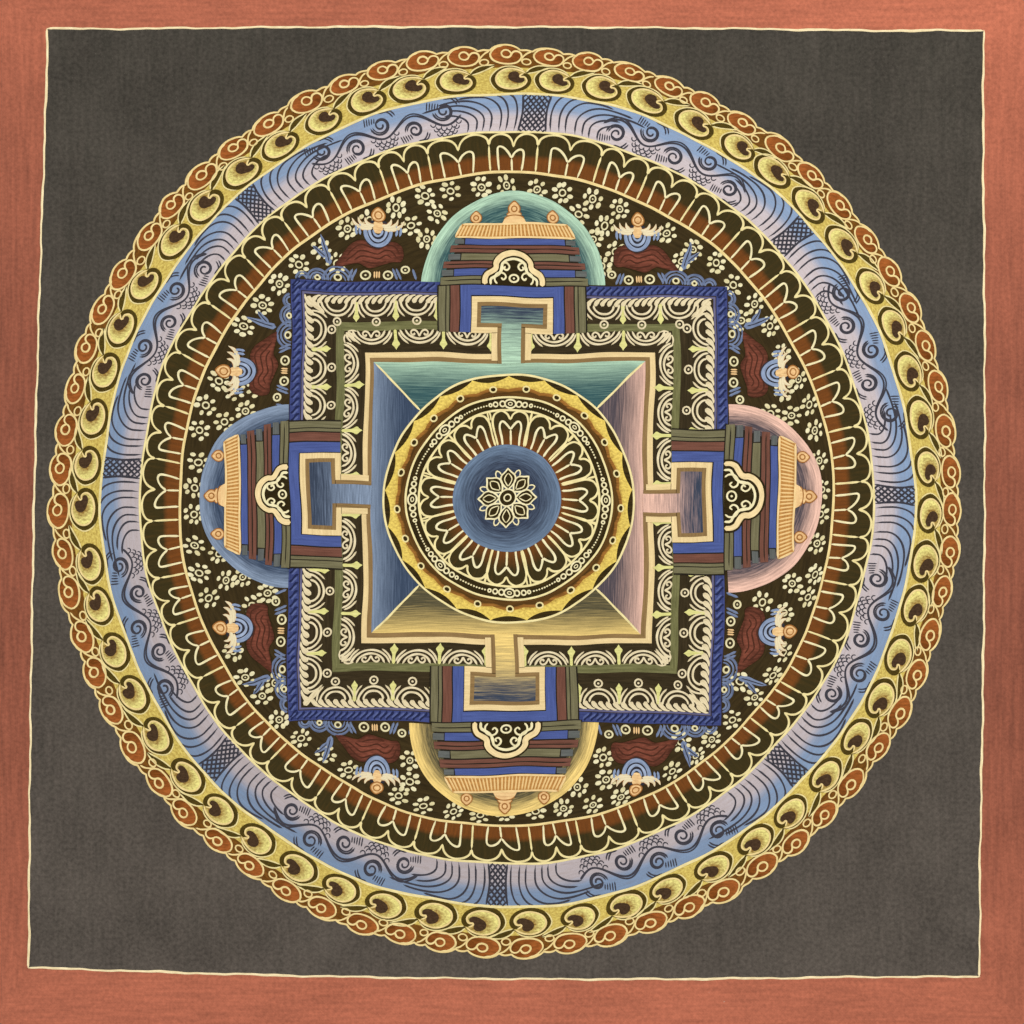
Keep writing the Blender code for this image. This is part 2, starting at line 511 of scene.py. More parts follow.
SHEET_CELLS = 88
FRAY, FRAY_CHANGE = 0.00020, 0.00008  # how far the cut threads stand out of the edge, in metres
BORDER_MARGIN = 0.9985  # the border is painted nearly to the cut edge
BORDER_CORNER_SHADES, BORDER_MIDDLE_SHADES = (0.45, 0.15, 0.50, 0.50), (0.42, 0.88, 0.42, 0.90)  # how deep its red is: painted shade, lightest at the top and its right corner where the light falls
FRAME_CORNERS = np.array(((-185.2, 192.8), (187.6, 191.6), (186.0, -184.8), (-193.2, -182.0)))
FRAME_BOWS = (1.8, 2.2, 3.3, 1.9)  # how far the middle of each side's line bows outwards
FRAME_LINE = 0.81


def cotton_sheet():
    """The sheet as a closed thin solid: the same grid of plan places above and below, joined round the rim
    by a wall whose middle stands out a little, as cut threads do."""
    steps = np.linspace(-1, 1, SHEET_CELLS + 1)
    x, y = sheet_plan(*np.meshgrid(steps, steps))
    flat = np.column_stack([x.ravel(), y.ravel(), rim_rise(x, y).ravel()])
    index = np.arange(x.size).reshape(x.shape)
    rim = np.concatenate([index[0, :-1], index[:-1, -1], index[-1, :0:-1], index[:0:-1, 0]])
    number = np.arange(len(rim))
    fray = FRAY + FRAY_CHANGE * np.sin(number * 2.4) * np.sin(number * 0.7)
    edge = flat[rim, :2]
    out = edge / np.abs(edge).max(-1, keepdims=True)
    out = np.where(np.abs(out) > 0.999, out, 0)
    middle = np.column_stack([edge + out * fray[:, None], flat[rim, 2] + SHEET_THICKNESS / 2])
    points = np.concatenate([flat, flat + (0, 0, SHEET_THICKNESS), middle])

    cells = grid_faces(*x.shape)
    ring, after = 2 * x.size + number, np.roll(rim, -1)
    ring_after = np.roll(ring, -1)
    lower = np.stack([rim, after, ring_after, ring], -1)
    upper = np.stack([ring, ring_after, after + x.size, rim + x.size], -1)
    faces = np.concatenate([cells[:, ::-1], cells + x.size, lower, upper]).tolist()
    canvas = new_object("canvas", points, faces, cotton_finish())
    seat(canvas)
    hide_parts(CANVAS_NODE)
    return canvas, xy(x, y) / MM


def frame_side(side, t):
    """One side of the frame line, clockwise: a straight line between two corners, bowed outwards by a
    parabola."""
    first, second = FRAME_CORNERS[[side, (side + 1) % 4]]
    bow = (FRAME_BOWS[side] * 4 * t * (1 - t))[:, None]
    return first + (second - first) * t[:, None] + on_side((0, 1), side) * bow


def red_border(plan):
    """Four strips from the frame line to the cut edge, mitred at the corners and brushed along their sides.
    The red deepens from the corners to a side's middle as a half sine wave, most on the left and right. This
    is painted shade: the top and its right corner are lightest, where the light falls, and the sides darkest."""
    edges = (plan[-1], plan[::-1, -1], plan[0, ::-1], plan[:, 0])
    t = np.linspace(0, 1, SHEET_CELLS + 1)
    strips = []
    for side, edge in enumerate(edges):
        grid = between(frame_side(side, t), edge * BORDER_MARGIN, 7)
        brush = grid if side % 2 == 0 else grid[..., ::-1]
        # Painted light and shade: the red is lighter at the top right, where the light falls, and deeper down
        # the sides.
        first, last = BORDER_CORNER_SHADES[side], BORDER_CORNER_SHADES[(side + 1) % 4]
        painted_side_shade = (BORDER_MIDDLE_SHADES[side] - (first + last) / 2) * np.sin(np.pi * t) ** 0.75
        shade = (blend(first, last, t) + painted_side_shade)[:, None]
        strips.append(patch(grid, 1, "brick", shade, brush + side * BORDER_STREAKS))
    finish = paint_finish("brushed_brick", 0.30, 0.04, 0.5, grain=0.8, weave=0.8, body=0.5, comb=0.10,
                          grit=700.0)
    lay("red_border", strips, finish, in_mandala=False)


def charcoal_ground():
    """The dark field inside the frame line: its four bowed sides blended over the middle, brushed upwards and
    darker towards the top."""
    steps = np.linspace(0, 1, 73)
    u, v = np.meshgrid(steps, steps)
    top_left, top_right, bottom_right, bottom_left = FRAME_CORNERS
    across = u[..., None]
    grid = blend(blend(bottom_left, bottom_right, across), blend(top_left, top_right, across), v[..., None])
    bulge_u, bulge_v = 4 * u * (1 - u), 4 * v * (1 - v)
    grid[..., 1] += FRAME_BOWS[0] * bulge_u * v - FRAME_BOWS[2] * bulge_u * (1 - v)
    grid[..., 0] += FRAME_BOWS[1] * bulge_v * u - FRAME_BOWS[3] * bulge_v * (1 - u)
    finish = paint_finish("charcoal_ground", 0.22, 0.04, 0.45, grain=1.3, weave=0.8, body=0.4, flecks=0.24,
                          comb=0.07, grit=700.0)
    ground = patch(grid, 1, "charcoal", 0.36 + 0.38 * v, grid[..., ::-1])
    lay("charcoal_ground", [ground], finish, in_mandala=False)


def frame_line():
    """The pale line round the dark field, one stroke to a side. It shakes, and its width changes, by sine
    waves of a few lengths."""
    t = np.linspace(-0.0011, 1.0011, 260)
    strokes = []
    for side in SIDES:
        shake = 0.16 * np.sin(t * 61 + side) + 0.11 * np.sin(t * 147 + 2 * side) + 0.06 * np.sin(t * 311)
        width = FRAME_LINE * (1 + 0.22 * np.sin(t * 83 + 3 * side) * np.sin(t * 29 + side))
        path = frame_side(side, t) + shake[:, None] * on_side((0, 1), side)
        strokes.append(stroke(path, width, 2, "frame line", 0.2, (0.2, 0.2)))
    lay("frame_line", strokes, paint_finish("pale_gold_line", 0.5, 0.25, 1.2), in_mandala=False)


# ---- The rings, from the outside in ------------------------------------------------------------------------

CLOUD_INSIDE, CLOUD_RADIUS, CLOUDS = 173.4, 178.3, 67
FLAME_INSIDE, FLAME_RADIUS, FLAMES = 162.4, 168.5, 55
WAVE_INSIDE, WAVE_CHANGE = 147.2, 154.9
LOTUS_INSIDE, LOTUS_RED, PETALS = 131.2, 137.2, 40

CLOUD_WIDE, CLOUD_HIGH, SCALLOP_WIDE, SCALLOP_HIGH = 6.1, 3.7, 6.9, 4.1  # half axes
CLOUD_SPIRAL = ((-0.5, 3.75), (-3.8, 3.1), (-6.2, 0.6), (-5.4, -1.9), (-2.6, -3.4), (1.2, -3.8), (4.4, -3.1),
                (6.2, -1.3), (6.3, 0.4), (5.2, 1.4), (3.7, 1.4), (2.6, 0.5), (1.9, -0.7), (0.5, -1.2),
                (-1.1, -0.7), (-1.6, 0.6), (-0.7, 1.7), (0.8, 1.9), (1.9, 1.2), (2.3, 0.3))
CLOUD_HOOK = ((0.64, 1.9), (0.53, 1.1), (0.44, -0.2), (0.38, -1.6), (0.385, -3.0))  # x in pitches


def spaced(count, jitter, start=0.0):
    """Angles of so many repeats round a ring, each a little off its even place."""
    return (np.arange(count) + start + uneven(jitter, count)) * FULL_TURN / count


def ring_ground(inner, outer, level, paint, depth=0.5, rows=4, second=None, brush_out=False):
    """A flat ring between two radii, brushed round it, or outwards."""
    angle = np.linspace(0, FULL_TURN, RING_STEPS)[:, None]
    radius = blend(inner, outer, np.linspace(0, 1, rows + 1))
    brush = xy(radius.mean() * angle, radius)
    brush = brush[..., ::-1] if brush_out else brush
    return patch(polar(radius, angle), level, paint, depth, brush, second=second)


def rim_line(radius, width, level, paint="yellow cream", depth=0.3):
    """A line all the way round, where one ring meets the next."""
    return stroke(ring_line(radius), width, level, paint, depth, closed=True)


def dome(away, reach):
    """The height of a half circle at a distance from its middle, as a share of its radius."""
    return np.sqrt(np.clip(1 - (away / reach) ** 2, 0, 1))


def cloud_ring():
    """Sixty-seven small clouds: red ovals on a brown band, each drawn as one line that goes round the oval
    and curls in to a small ring, with a hooked curl and a bead between two, and a scalloped line over them
    all. The scallops are the highest of the two clouds' half ovals and of the bead's."""
    angle, pitch = spaced(CLOUDS, 0.06), FULL_TURN * CLOUD_RADIUS / CLOUDS
    size = 1 + uneven(0.07, CLOUDS, 1, 1)
    lift = xy(0.0, uneven(0.35, CLOUDS))[:, None]

    def placed(line):
        return on_ring(line * size + lift, angle[:, None], CLOUD_RADIUS)

    u = np.linspace(0, pitch, 15)[:-1]
    big, raised = size[..., 0], lift[..., 1]
    here = dome(u, SCALLOP_WIDE) * SCALLOP_HIGH * big + raised
    after = dome(pitch - u, SCALLOP_WIDE) * SCALLOP_HIGH * np.roll(big, -1, 0) + np.roll(raised, -1, 0)
    bead = 0.9 + 1.7 * dome(u - 0.50 * pitch, 3.0)
    rim = CLOUD_RADIUS + np.maximum(np.maximum(here, bead), after).ravel()
    around = (angle[:, None] + u / CLOUD_RADIUS).ravel()
    rim, around = np.append(rim, rim[0]), np.append(around, around[0] + FULL_TURN)
    scallops = polar(rim, around)

    cloud = oval((0, 0), CLOUD_WIDE, CLOUD_HIGH, 17)
    browner = 0.5 + 0.075 * cloud[:, :1] * np.linspace(0, 1, 4)
    brush = xy(CLOUD_RADIUS * around[:, None], np.linspace(0, 8, 4))
    fills = [patch(between(polar(CLOUD_INSIDE, around), scallops, 3), 2, "cloud brown", 0.55, brush),
             blot(placed(cloud), 3, "cloud red", browner, steps=3)]
    lay("cloud_ring_fills", fills, paint_finish("brushed_cloud_red", 0.8, 0.3, 1.0, comb=0.4))
    hook, bead = curve(np.array(CLOUD_HOOK) * (pitch, 1), 12), oval((0.49 * pitch, -2.7), 1.75, 1.25, 13)
    lines = [stroke(scallops, 0.75, 4, "pink cream", 0.35, closed=True),
             stroke(placed(curve(CLOUD_SPIRAL, 48)), 0.72, 4.5, "pink cream", 0.3, (1.2, 0.5)),
             stroke(placed(hook), 0.66, 4, "pink cream", 0.35),
             stroke(placed(bead), 0.6, 4.5, "pink cream", 0.35, closed=True)]
    lay("cloud_ring_lines", lines, line_finish)


CURL_OUTSIDE = ((6.1, 2.85), (3.5, 4.9), (0.2, 5.7), (-3.5, 5.1), (-6.3, 3.1), (-7.9, 0.2), (-6.7, -3.1),
                (-3.9, -5.1), (0.2, -5.7), (4.3, -4.9), (6.9, -3.1), (7.9, -0.6), (7.4, 1.4), (6.2, 2.4),
                (4.8, 2.4), (3.6, 1.7), (3.3, 0.8))
CURL_INSIDE = ((5.9, 2.6), (3.4, 4.0), (0.2, 4.7), (-2.7, 4.1), (-4.9, 2.4), (-5.7, 0.2), (-4.9, -2.1),
               (-2.7, -3.5), (0.2, -4.1), (3.0, -3.7), (5.1, -2.5), (6.0, -1.0), (5.7, 0.2), (5.2, 0.8),
               (4.5, 1.0), (3.9, 0.9), (3.3, 0.8))
CURL_PUPIL = ((-1.1, 0.9), (-0.8, 2.3), (0.4, 3.3), (1.9, 3.5), (3.0, 2.8), (3.2, 1.5), (3.8, 0.7),
              (4.8, 0.4), (5.2, -0.5), (4.5, -1.4), (2.9, -1.7), (1.3, -1.2), (-0.3, -0.4))
CURL_LEAF = (((5.8, 2.9), (7.5, 4.8), (10.6, 6.2), (15.4, 6.4)),
             ((6.3, 2.4), (8.8, 3.0), (11.8, 4.2), (15.4, 6.0)))


def flame_ring():
    """Fifty-five curls on stippled gold: a dark band that starts thin at the upper right, goes round to the
    left and hooks in under its start, with a yellow crescent and a dark pupil in it, and a dark leaf from
    its mouth."""
    angle = spaced(FLAMES, 0.07)
    size = 1 + uneven(0.05, FLAMES, 1, 1)

    def placed(line):
        return on_ring(line * size * (1.07, 1.0), angle[:, None], FLAME_RADIUS)

    outside, inside = placed(curve(CURL_OUTSIDE, 45)), placed(curve(CURL_INSIDE, 45))
    leaf = [placed(curve(edge, 10)) for edge in CURL_LEAF]
    crescent = oval((-0.2, 0.2), 6.1, 4.6, 25)
    spots = between(np.broadcast_to(crescent[:-1].mean(0), crescent.shape), crescent, 4)
    near = np.hypot((spots[..., 0] - 1.6) / 5.8, (spots[..., 1] - 1.0) / 4.6)
    ground = [ring_ground(FLAME_INSIDE, CLOUD_INSIDE + 0.8, 1.6, "flame ground", rows=3)]
    lay("flame_ring_ground", ground, paint_finish("stippled_gold", 0.85, 0.8, 1.3, grain=0.5, body=0.6))
    brush = xy(np.linspace(0, 40, 45)[:, None], np.arange(3))
    fills = [blot(placed(crescent), 3, "flame yellow", np.clip(1.5 - 1.35 * near, 0.05, 1), steps=4),
             patch(between(outside, inside, 2), 4, "curl brown", 0.5, brush),
             blot(placed(curve(CURL_PUPIL, 25, closed=True)), 4.4, "plum brown"),
             patch(between(*leaf), 3.6, "curl brown", 0.4)]
    lay("flame_ring_curls", fills, paint_finish("brushed_curl_brown", 0.75, 0.8, 1.2, grain=0.5, comb=0.4))
    lines = [stroke(inside, 0.72, 5.4, "pink cream", 0.35, (2.0, 0.8)),
             stroke(outside[:, 38:], 0.66, 5.4, "pink cream", 0.35, (1.6, 0.3)),
             stroke(outside[:, 1:19], 0.5, 5.2, "yellow cream", 0.5, (1.5, 3.0))]
    lines += [stroke(edge, 0.52, 4.4, "yellow cream", 0.4, (1.0, 1.5)) for edge in leaf]
    lay("flame_ring_lines", lines + [rim_line(FLAME_INSIDE, 0.95, 4, depth=0.35)], line_finish)


LATTICE_ANGLES = np.radians((4.0, 47.3, 89.3, 133.7, 181.6, 227.9, 274.5, 319.5))
LATTICE_WIDTHS = np.array((10.0, 7.4, 6.6, 7.6, 7.0, 8.0, 6.8, 7.6))
WAVE_HEIGHT = 15.2
# The arches beside a lattice, from the inmost: where each starts, its height and the width of its bend.
ARCHES = ((1.5, 15.0, 4.0), (4.6, 15.0, 5.5), (7.8, 14.4, 8.0), (11.0, 13.0, 10.0), (14.0, 11.4, 11.0),
          (17.0, 9.7, 10.5), (19.8, 8.0, 9.0))
BAY, BAYS = 12.2, 5  # the rolling waves' bays: the length of one, and how many there are in a part


def on_water(places, angle):
    """Bends a flat pattern round the water ring, y from its inner line."""
    return on_ring(places, angle, WAVE_INSIDE)


def wave_ring():
    """The water ring, blue outside and lilac inside. Eight lattices part it, and from each lattice lines
    run as nested arches: up a leg, round a quarter ellipse and along. Rolling waves fill the middle of each
    part."""
    reach = np.linspace(WAVE_INSIDE, FLAME_INSIDE, 13)
    depth = eased((WAVE_CHANGE + 0.4 - reach) / 4.4 + 0.5) * 0.84 + 0.12 * (FLAME_INSIDE - reach) / 15
    ground = ring_ground(WAVE_INSIDE, FLAME_INSIDE, 2, "water", depth, rows=12)
    # Painted light: the ring is made lighter towards the upper right and darker towards the lower left, as
    # the light falls on it.
    painted_light_round_ring = 0.83 + 0.12 * np.cos(np.linspace(0, FULL_TURN, RING_STEPS) - 0.56)
    for key in ("light", "deep"):
        ground[key] = np.repeat(painted_light_round_ring, len(reach))[:, None] * ground[key]
    lay("water_ring_ground", [ground], paint_finish("washed_blue", 0.28, 0.12, 1.3, grain=0.3))
    lay("water_ring_lines", [rim_line(WAVE_INSIDE, 0.8, 3)], line_finish)

    drawn = []
    for place, wide in zip(LATTICE_ANGLES, LATTICE_WIDTHS):
        drawn += lattice(place, wide)
    quarter = np.linspace(0, FULL_TURN / 4, 12)
    for k, (start, top, corner) in enumerate(ARCHES):
        leg = top * 0.42
        bend = xy(start + corner * (1 - np.cos(quarter)), leg + (top - leg) * np.sin(quarter))
        run = xy(start + corner + np.linspace(1.2, 4 + 2 * k, 7), top - 0.02 * np.arange(7) ** 2)
        foot = [(start + 0.7, 0.3), (start + 0.2, leg * 0.5)]
        arch = np.concatenate([foot, bend, run if 1 < k < 5 else run[:0]]) + (0.35 * np.sin(k * 2.3), 0.0)
        for side in (-1, 1):
            arches = arch * (side, 1) + LATTICE_WIDTHS[:, None, None] / 2 * (side, 0)
            drawn.append(stroke(on_water(arches, LATTICE_ANGLES[:, None]), 0.70, 3, "navy", 0.4, (0.3, 1.6)))
    lay("water_ring_waves", drawn + rolling_waves(), paint_finish("brushed_navy", 0.4, 0.3, 1.4, grain=0.3))


def lattice(place, wide):
    """A netted field across the water ring: two sets of slanting bars, cut off where they leave the field,
    and a hollow edge on each side."""
    made = []
    slope, rows, middle = 0.86, np.arange(-12, 13) * 2.10, WAVE_HEIGHT / 2
    across = rows[np.abs(rows) < wide / 2 + slope * middle - 0.3]
    for lean in (slope, -slope):
        limits = np.sort(np.stack([(-wide / 2 - across) / lean, (wide / 2 - across) / lean]), 0)
        low, high = np.clip(limits, -middle, middle)
        v = low[:, None] + (high - low)[:, None] * np.linspace(0, 1, 6)
        bars = xy(across[:, None] + lean * v, v + middle)
        made.append(stroke(on_water(bars, place), 0.74, 3.2 + 0.4 * (lean > 0), "navy", 0.5, (0.1, 0.1)))
    hollow = np.linspace(-1, 1, 11)
    for side in (-1, 1):
        edge = xy(side * (wide / 2 + 0.5 - 0.9 * (1 - hollow**2)), (hollow + 1) / 2 * WAVE_HEIGHT)
        made.append(stroke(on_water(edge, place), 0.85, 3.3, "navy", 0.5, (0.2, 0.2)))
    return made


def rolling_waves():
    """A generic running scroll of water for the middle of each part: one line that swings from side to side
    as a sine wave, a coil of shrinking radius in each bay, crests round the coil's open side, combed short
    lines, and three rows of water scales piled on the line's inner side where it swings inwards."""
    made = []
    half = BAY * BAYS / 2
    offsets = (np.arange(BAYS) - (BAYS - 1) / 2) * BAY
    along, t, comb = np.linspace(-half, half, 90), np.linspace(0, 1, 34), np.linspace(0, 1, 6)
    scale = curve(((-1.0, 0.0), (-0.8, 0.9), (0.0, 1.35), (0.8, 0.9), (1.0, 0.0)), 9) * (1, -1)
    spans = (np.roll(LATTICE_ANGLES, -1) - LATTICE_ANGLES) % FULL_TURN
    for index, (first, span) in enumerate(zip(LATTICE_ANGLES, spans)):
        middle = first + span / 2 + 0.006 * (-1) ** index
        up = np.where((np.arange(BAYS) + index) % 2 == 0, 1.0, -1.0)
        flip = xy(1.0, up)[:, None]

        def swing(x):
            return np.sin(np.pi * (x + half) / BAY) * up[0]

        def draw(line, width, level, depth, ends):
            inside = np.clip(line, (-60, 0.5), (60, 14.7))
            made.append(stroke(on_water(inside, middle), width, level, "navy", depth, ends))

        for shift in (0.0, 1.0):
            trail = xy(along, 7.6 + 3.0 * swing(along) + shift * (0.5 + 0.4 * swing(along)))
            draw(trail, 0.72 - 0.14 * shift, 3, 0.4, (2.0, 2.0))
        centre = xy(offsets + uneven(0.4, BAYS), 7.5 - 2.5 * up)[:, None]
        size = 4.1 * (1 + uneven(0.06, BAYS))[:, None, None]
        angle = np.pi * 1.02 - t * FULL_TURN * 1.55
        for pull, stop, width in ((1.0, 34, 0.74), (0.80, 20, 0.56)):
            radius = pull * (1 - 0.84 * t**0.85)
            coil = xy(np.cos(angle) * radius, np.sin(angle) * radius)[:stop]
            draw(centre + coil * size * flip, width, 3.1, 0.4, (0.8, 0.5))
        for over in (1.30, 1.54):
            sweep = np.linspace(-0.15, -1.35, 10) - 0.12 * over
            crest = xy(np.cos(sweep), np.sin(sweep)) * over
            draw(np.clip(centre + crest * size * flip, (-60, 0.6), (60, 14.6)), 0.58, 3, 0.45, (0.9, 0.9))
        for step in range(5):
            teeth = xy(-6.2 + 0.95 * step + 0.7 * comb, -1.2 - (3.6 - 0.35 * step) * comb)
            draw(centre + teeth * flip, 0.5, 3, 0.5, (0.5, 1.0))
        for row in range(3):
            spots = offsets[up < 0, None] + (np.arange(6 - row) - (5 - row) / 2) * 1.95
            scales = scale + xy(spots, 7.6 + 3.0 * swing(spots) - (0.7 + 1.25 * row))[:, :, None]
            draw(scales.reshape(-1, 9, 2), 0.44, 3, 0.45, (0.3, 0.3))
    return made


LOTUS_LOBE = ((-11.0, 10.8), (-10.3, 13.3), (-8.2, 14.8), (-5.2, 15.2), (-2.5, 14.3), (-0.8, 12.4),
              (0.0, 9.8))
LOTUS_LEFT = ((-6.3, 0.0), (-6.5, 4.5), (-6.7, 8.6), (-6.4, 9.9), (-5.2, 10.1), (-3.4, 9.2), (-1.6, 7.4),
              (-0.3, 5.4))
LOTUS_RIGHT = ((-0.3, 5.4), (0.8, 7.4), (2.4, 8.7), (4.0, 9.0), (5.1, 8.0), (5.1, 5.0), (4.5, 0.0))
LOTUS_LEG = ((-0.3, 5.6), (-0.1, 2.6), (0.1, 0.0))


def lotus_ring():
    """Forty petals that share their sides: each a pair of round lobes with a cusp between, and in it a line
    like a broad M that stands on the ring's foot. The foot is red and the rest of the petal dark."""
    edge = spaced(PETALS, 0.09) + 0.10
    wide = (np.roll(edge, -1) - edge) % FULL_TURN
    middle = (edge + wide / 2)[:, None]
    breadth = xy(wide * LOTUS_INSIDE / 22.0, 1.0)[:, None]
    lobes = mirrored(curve(LOTUS_LOBE, 24)) * breadth[:, None]
    sides = xy(np.zeros(8), np.linspace(0, 11.0, 8))
    lean = xy(uneven(0.5, PETALS), 0.0)[:, None]

    def placed(line, steps):
        return on_ring(curve(line, steps) * breadth + lean, middle, LOTUS_INSIDE)

    depth = np.clip((np.linspace(LOTUS_INSIDE, WAVE_INSIDE, 17) - LOTUS_RED) / 2.2 + 0.5, 0.15, 1.0)
    ground = ring_ground(LOTUS_INSIDE, WAVE_INSIDE, 2, "petal red", depth, rows=16, second="petal dark",
                         brush_out=True)
    lay("outer_lotus_ground", [ground], paint_finish("brushed_petal", 0.18, 0.12, 0.9, comb=0.4))
    lobes = on_ring(lobes, middle[..., None], LOTUS_INSIDE)
    lines = [stroke(lobes, 0.82, 4, "yellow cream", 0.3, (0.4, 1.6)),
             stroke(on_ring(sides, edge[:, None], LOTUS_INSIDE), 0.8, 4.1, "yellow cream", 0.3),
             stroke(placed(LOTUS_LEFT, 22), 0.82, 4.2),
             stroke(placed(LOTUS_RIGHT, 20), 0.82, 4.2),
             stroke(placed(LOTUS_LEG, 7), 0.76, 4.3, "cream", 0.3),
             rim_line(LOTUS_INSIDE, 1.05, 4.4, "pink cream")]
    lay("outer_lotus_lines", lines, line_finish)


# ---- The flowered field and the haloes over the gates ------------------------------------------------------

FIELD_ROWS = (125.9, 117.9, 109.9, 101.9, 93.9)
FLOWER_STEP, FLOWER_RING, PETAL_REACH, PETAL_LONG = 11.2, 1.36, 3.22, 1.20
# What hides the flowers on each half of a side: ovals as x and y of the middle and both half axes.
FIELD_COVERS = ((55, 98, 12.5, 6.2), (52, 107.5, 6.4, 5.4), (51.6, 113.2, 5.0, 3.6), (66, 88, 6.0, 5.6),
                (75, 88, 4.6, 4.4), (47, 90, 11, 3.6))
GATE_SHIFTS = (1.6, 0.2, 1.6, 2.8)  # each gate stands a little clockwise of its side's middle
HALO_SHIFTS, HALO_BASES = (2.3, -1.4, 1.8, 2.2), (87.0, 87.8, 88.8, 87.4)
HALO_REACH = (36.7, 37.8, 37.5, 36.6)
SIDE_PAINTS = ("jade", "rose", "sand", "azure")


def open_ground(spots):
    """Which places of the field show a flower, whole or in part: those whose middle isn't under the palace, a
    halo, a cloud, a bowl or a scroll."""
    free = np.ones(len(spots), bool)
    for side in SIDES:
        seen = on_side(spots, -side) - (GATE_SHIFTS[side], 0)
        away, out = np.abs(seen[:, 0]), seen[:, 1]
        hidden = np.hypot(away, out - 88) < HALO_REACH[side] - 0.6
        for x, y, wide, high in FIELD_COVERS:
            hidden |= ((away - x) / wide) ** 2 + ((out - y) / high) ** 2 < 1
        hidden |= (out > 0) & (out < np.where(away < 71, 94.5, 90.0)) & (away < 89)
        free &= ~hidden
    return free


def flower_field():
    """The dark field and its flowers: rows of rings, each with seven or eight single touches of the brush
    round it. A touch is a domed ellipse that leans with the hand more than it points at the ring."""
    rows = []
    for row, radius in enumerate(FIELD_ROWS):
        angle = spaced(int(FULL_TURN * radius / FLOWER_STEP), 0.10, 0.5 * (row % 2))
        rows.append(polar(radius + uneven(0.9, len(angle)), angle))
    spots = np.concatenate(rows)
    spots = spots[open_ground(spots)]
    lean = random.normal(0.5, 0.45, len(spots))
    eight = random.random(len(spots)) < 0.45
    patches = []
    for petals, chosen in ((8, eight), (7, ~eight)):
        tilt = lean[chosen][:, None]
        every = len(tilt), petals
        angle = np.arange(petals) * FULL_TURN / petals + tilt + uneven(0.09, *every)
        reach = PETAL_REACH * (1 + uneven(0.06, *every))
        centres = spots[chosen][:, None] + xy(np.cos(angle) * reach, np.sin(angle) * reach)
        slope = tilt + 0.75 * np.sin(2 * (angle - tilt)) / 2 + uneven(0.15, *every)
        long = PETAL_LONG * (1 + uneven(0.13, *every))
        depth = random.uniform(0.0, 0.55, (*every, 1, 1))
        patches.append(blot(oval(centres, long, long * 0.69, 9, slope), 2.6, "flower", depth, dome=0.07))
    rings = oval(spots, FLOWER_RING * random.uniform(0.9, 1.08, len(spots)), FLOWER_RING * 0.86, 12, lean)
    patches.append(stroke(rings, 0.60, 2.6, "flower", 0.3, closed=True, crown=0.06))
    dots = spots[random.random(len(spots)) < 0.5]
    patches.append(blot(oval(dots, 0.38, 0.32, 7), 2.6, "flower", 0.4, dome=0.05))
    ground = ring_ground(70.0, LOTUS_INSIDE, 1.8, "flower ground", rows=6)
    lay("flower_field_ground", [ground], paint_finish("brushed_field", 0.8, 0.12, 0.8))
    lay("field_flowers", patches, paint_finish("flower_touches", 0.35, 0.5, 1.0, grain=0.2, weave=0.3))


def haloes():
    """A half disc of light over each gate, pale at its rim and sinking to a dark middle, brushed in arcs."""
    made = []
    rho = np.array((0.0, 0.45, 0.62, 0.70, 0.76, 0.81, 0.86, 0.90, 0.95, 1.0))
    depth = eased((1.0 - rho - 0.03) / 0.165) * 0.92 + 0.02
    angle = np.linspace(-0.5, 0.5, 61)[:, None] * np.pi
    for side, paint in enumerate(SIDE_PAINTS):
        reach = HALO_REACH[side] * rho
        grid = polar(reach, angle) + (HALO_SHIFTS[side], HALO_BASES[side])
        made.append(patch(on_side(grid, side), 5, paint, depth, xy(angle * HALO_REACH[side], reach)))
    lay("haloes", made, paint_finish("halo_wash", 0.55, 0.10, 1.6, grain=0.3, comb=0.5))


# ---- The palace: its bands, festoons and court -------------------------------------------------------------

# The corners of the square rings, clockwise from the top left: the palace's outer edge, the foot of its leaf
# row, both edges of the olive band, the court's wall, and the court's own edge. None is quite square.
PALACE = np.array(((-86.6, 88.8), (88.2, 85.5), (85.4, -89.0), (-88.2, -87.6)))
LEAF_FOOT = np.array(((-81.3, 83.0), (82.5, 80.8), (80.6, -84.0), (-82.8, -82.4)))
OLIVE = np.array(((-68.8, 72.0), (68.7, 70.6), (68.0, -68.9), (-70.0, -68.0)))
OLIVE_INNER = np.array(((-65.5, 68.4), (65.6, 67.6), (65.0, -65.6), (-66.8, -64.7)))
WALL = np.array(((-57.4, 59.4), (58.5, 59.2), (57.9, -57.1), (-58.6, -56.8)))
COURT = np.array(((-54.2, 55.4), (54.5, 55.7), (53.6, -53.4), (-54.6, -52.5)))
COURT_MIDDLE = (0.2, 1.2)
# The spacing of the rope's twists and of the leaf row's leaves on each side, and the way they lean.
ROPE_PITCHES, LEAF_PITCHES, ROW_LEANS = (2.7, 3.3, 2.6, 3.2), (2.75, 3.4, 3.1, 3.3), (-1, -1, 1, -1)
LEAF_WIDE, POST_EDGE, STEM_EDGE = 3.4, 29.2, 7.7
ROPE_TWIST = ((-1.7, -3.9), (-1.4, -2.8), (-0.3, -2.0), (0.7, -1.2), (1.1, -0.2))
ROPE_GLOSS = ((-0.6, -3.4), (0.0, -2.5), (0.8, -1.8), (1.7, -1.1))
# Each line of the rope: its points and steps, its width, coat, paint and depth, and the length of its ends.
ROPE_LINES = ((ROPE_TWIST, 10, 0.85, 7.8, "rope dark", 0.5, 0.8),
              (ROPE_GLOSS, 8, 1.05, 7.6, "rope light", 0.4, 1.4))
ROW_LEAF = ((-3.9, -0.15), (-2.4, -0.35), (-1.0, -1.1), (0.1, -2.1), (0.9, -3.4))
LEAF_SWELL = np.array((0.35, 0.55, 0.75, 0.95, 1.15, 1.4, 1.65, 1.85, 2.0, 2.1, 2.1, 1.95, 1.6))
# A sheaf in a corner: each leaf's line and width. The middle one is single and the others are in pairs.
SHEAF = ((((0, -0.9), (0, -3.3), (0, -6.6)), 1.25), (((0.35, -1.3), (1.25, -3.168), (1.45, -5.544)), 0.8),
         (((0.7, -1.2), (2.5, -2.244), (3.6, -4.092)), 0.68))
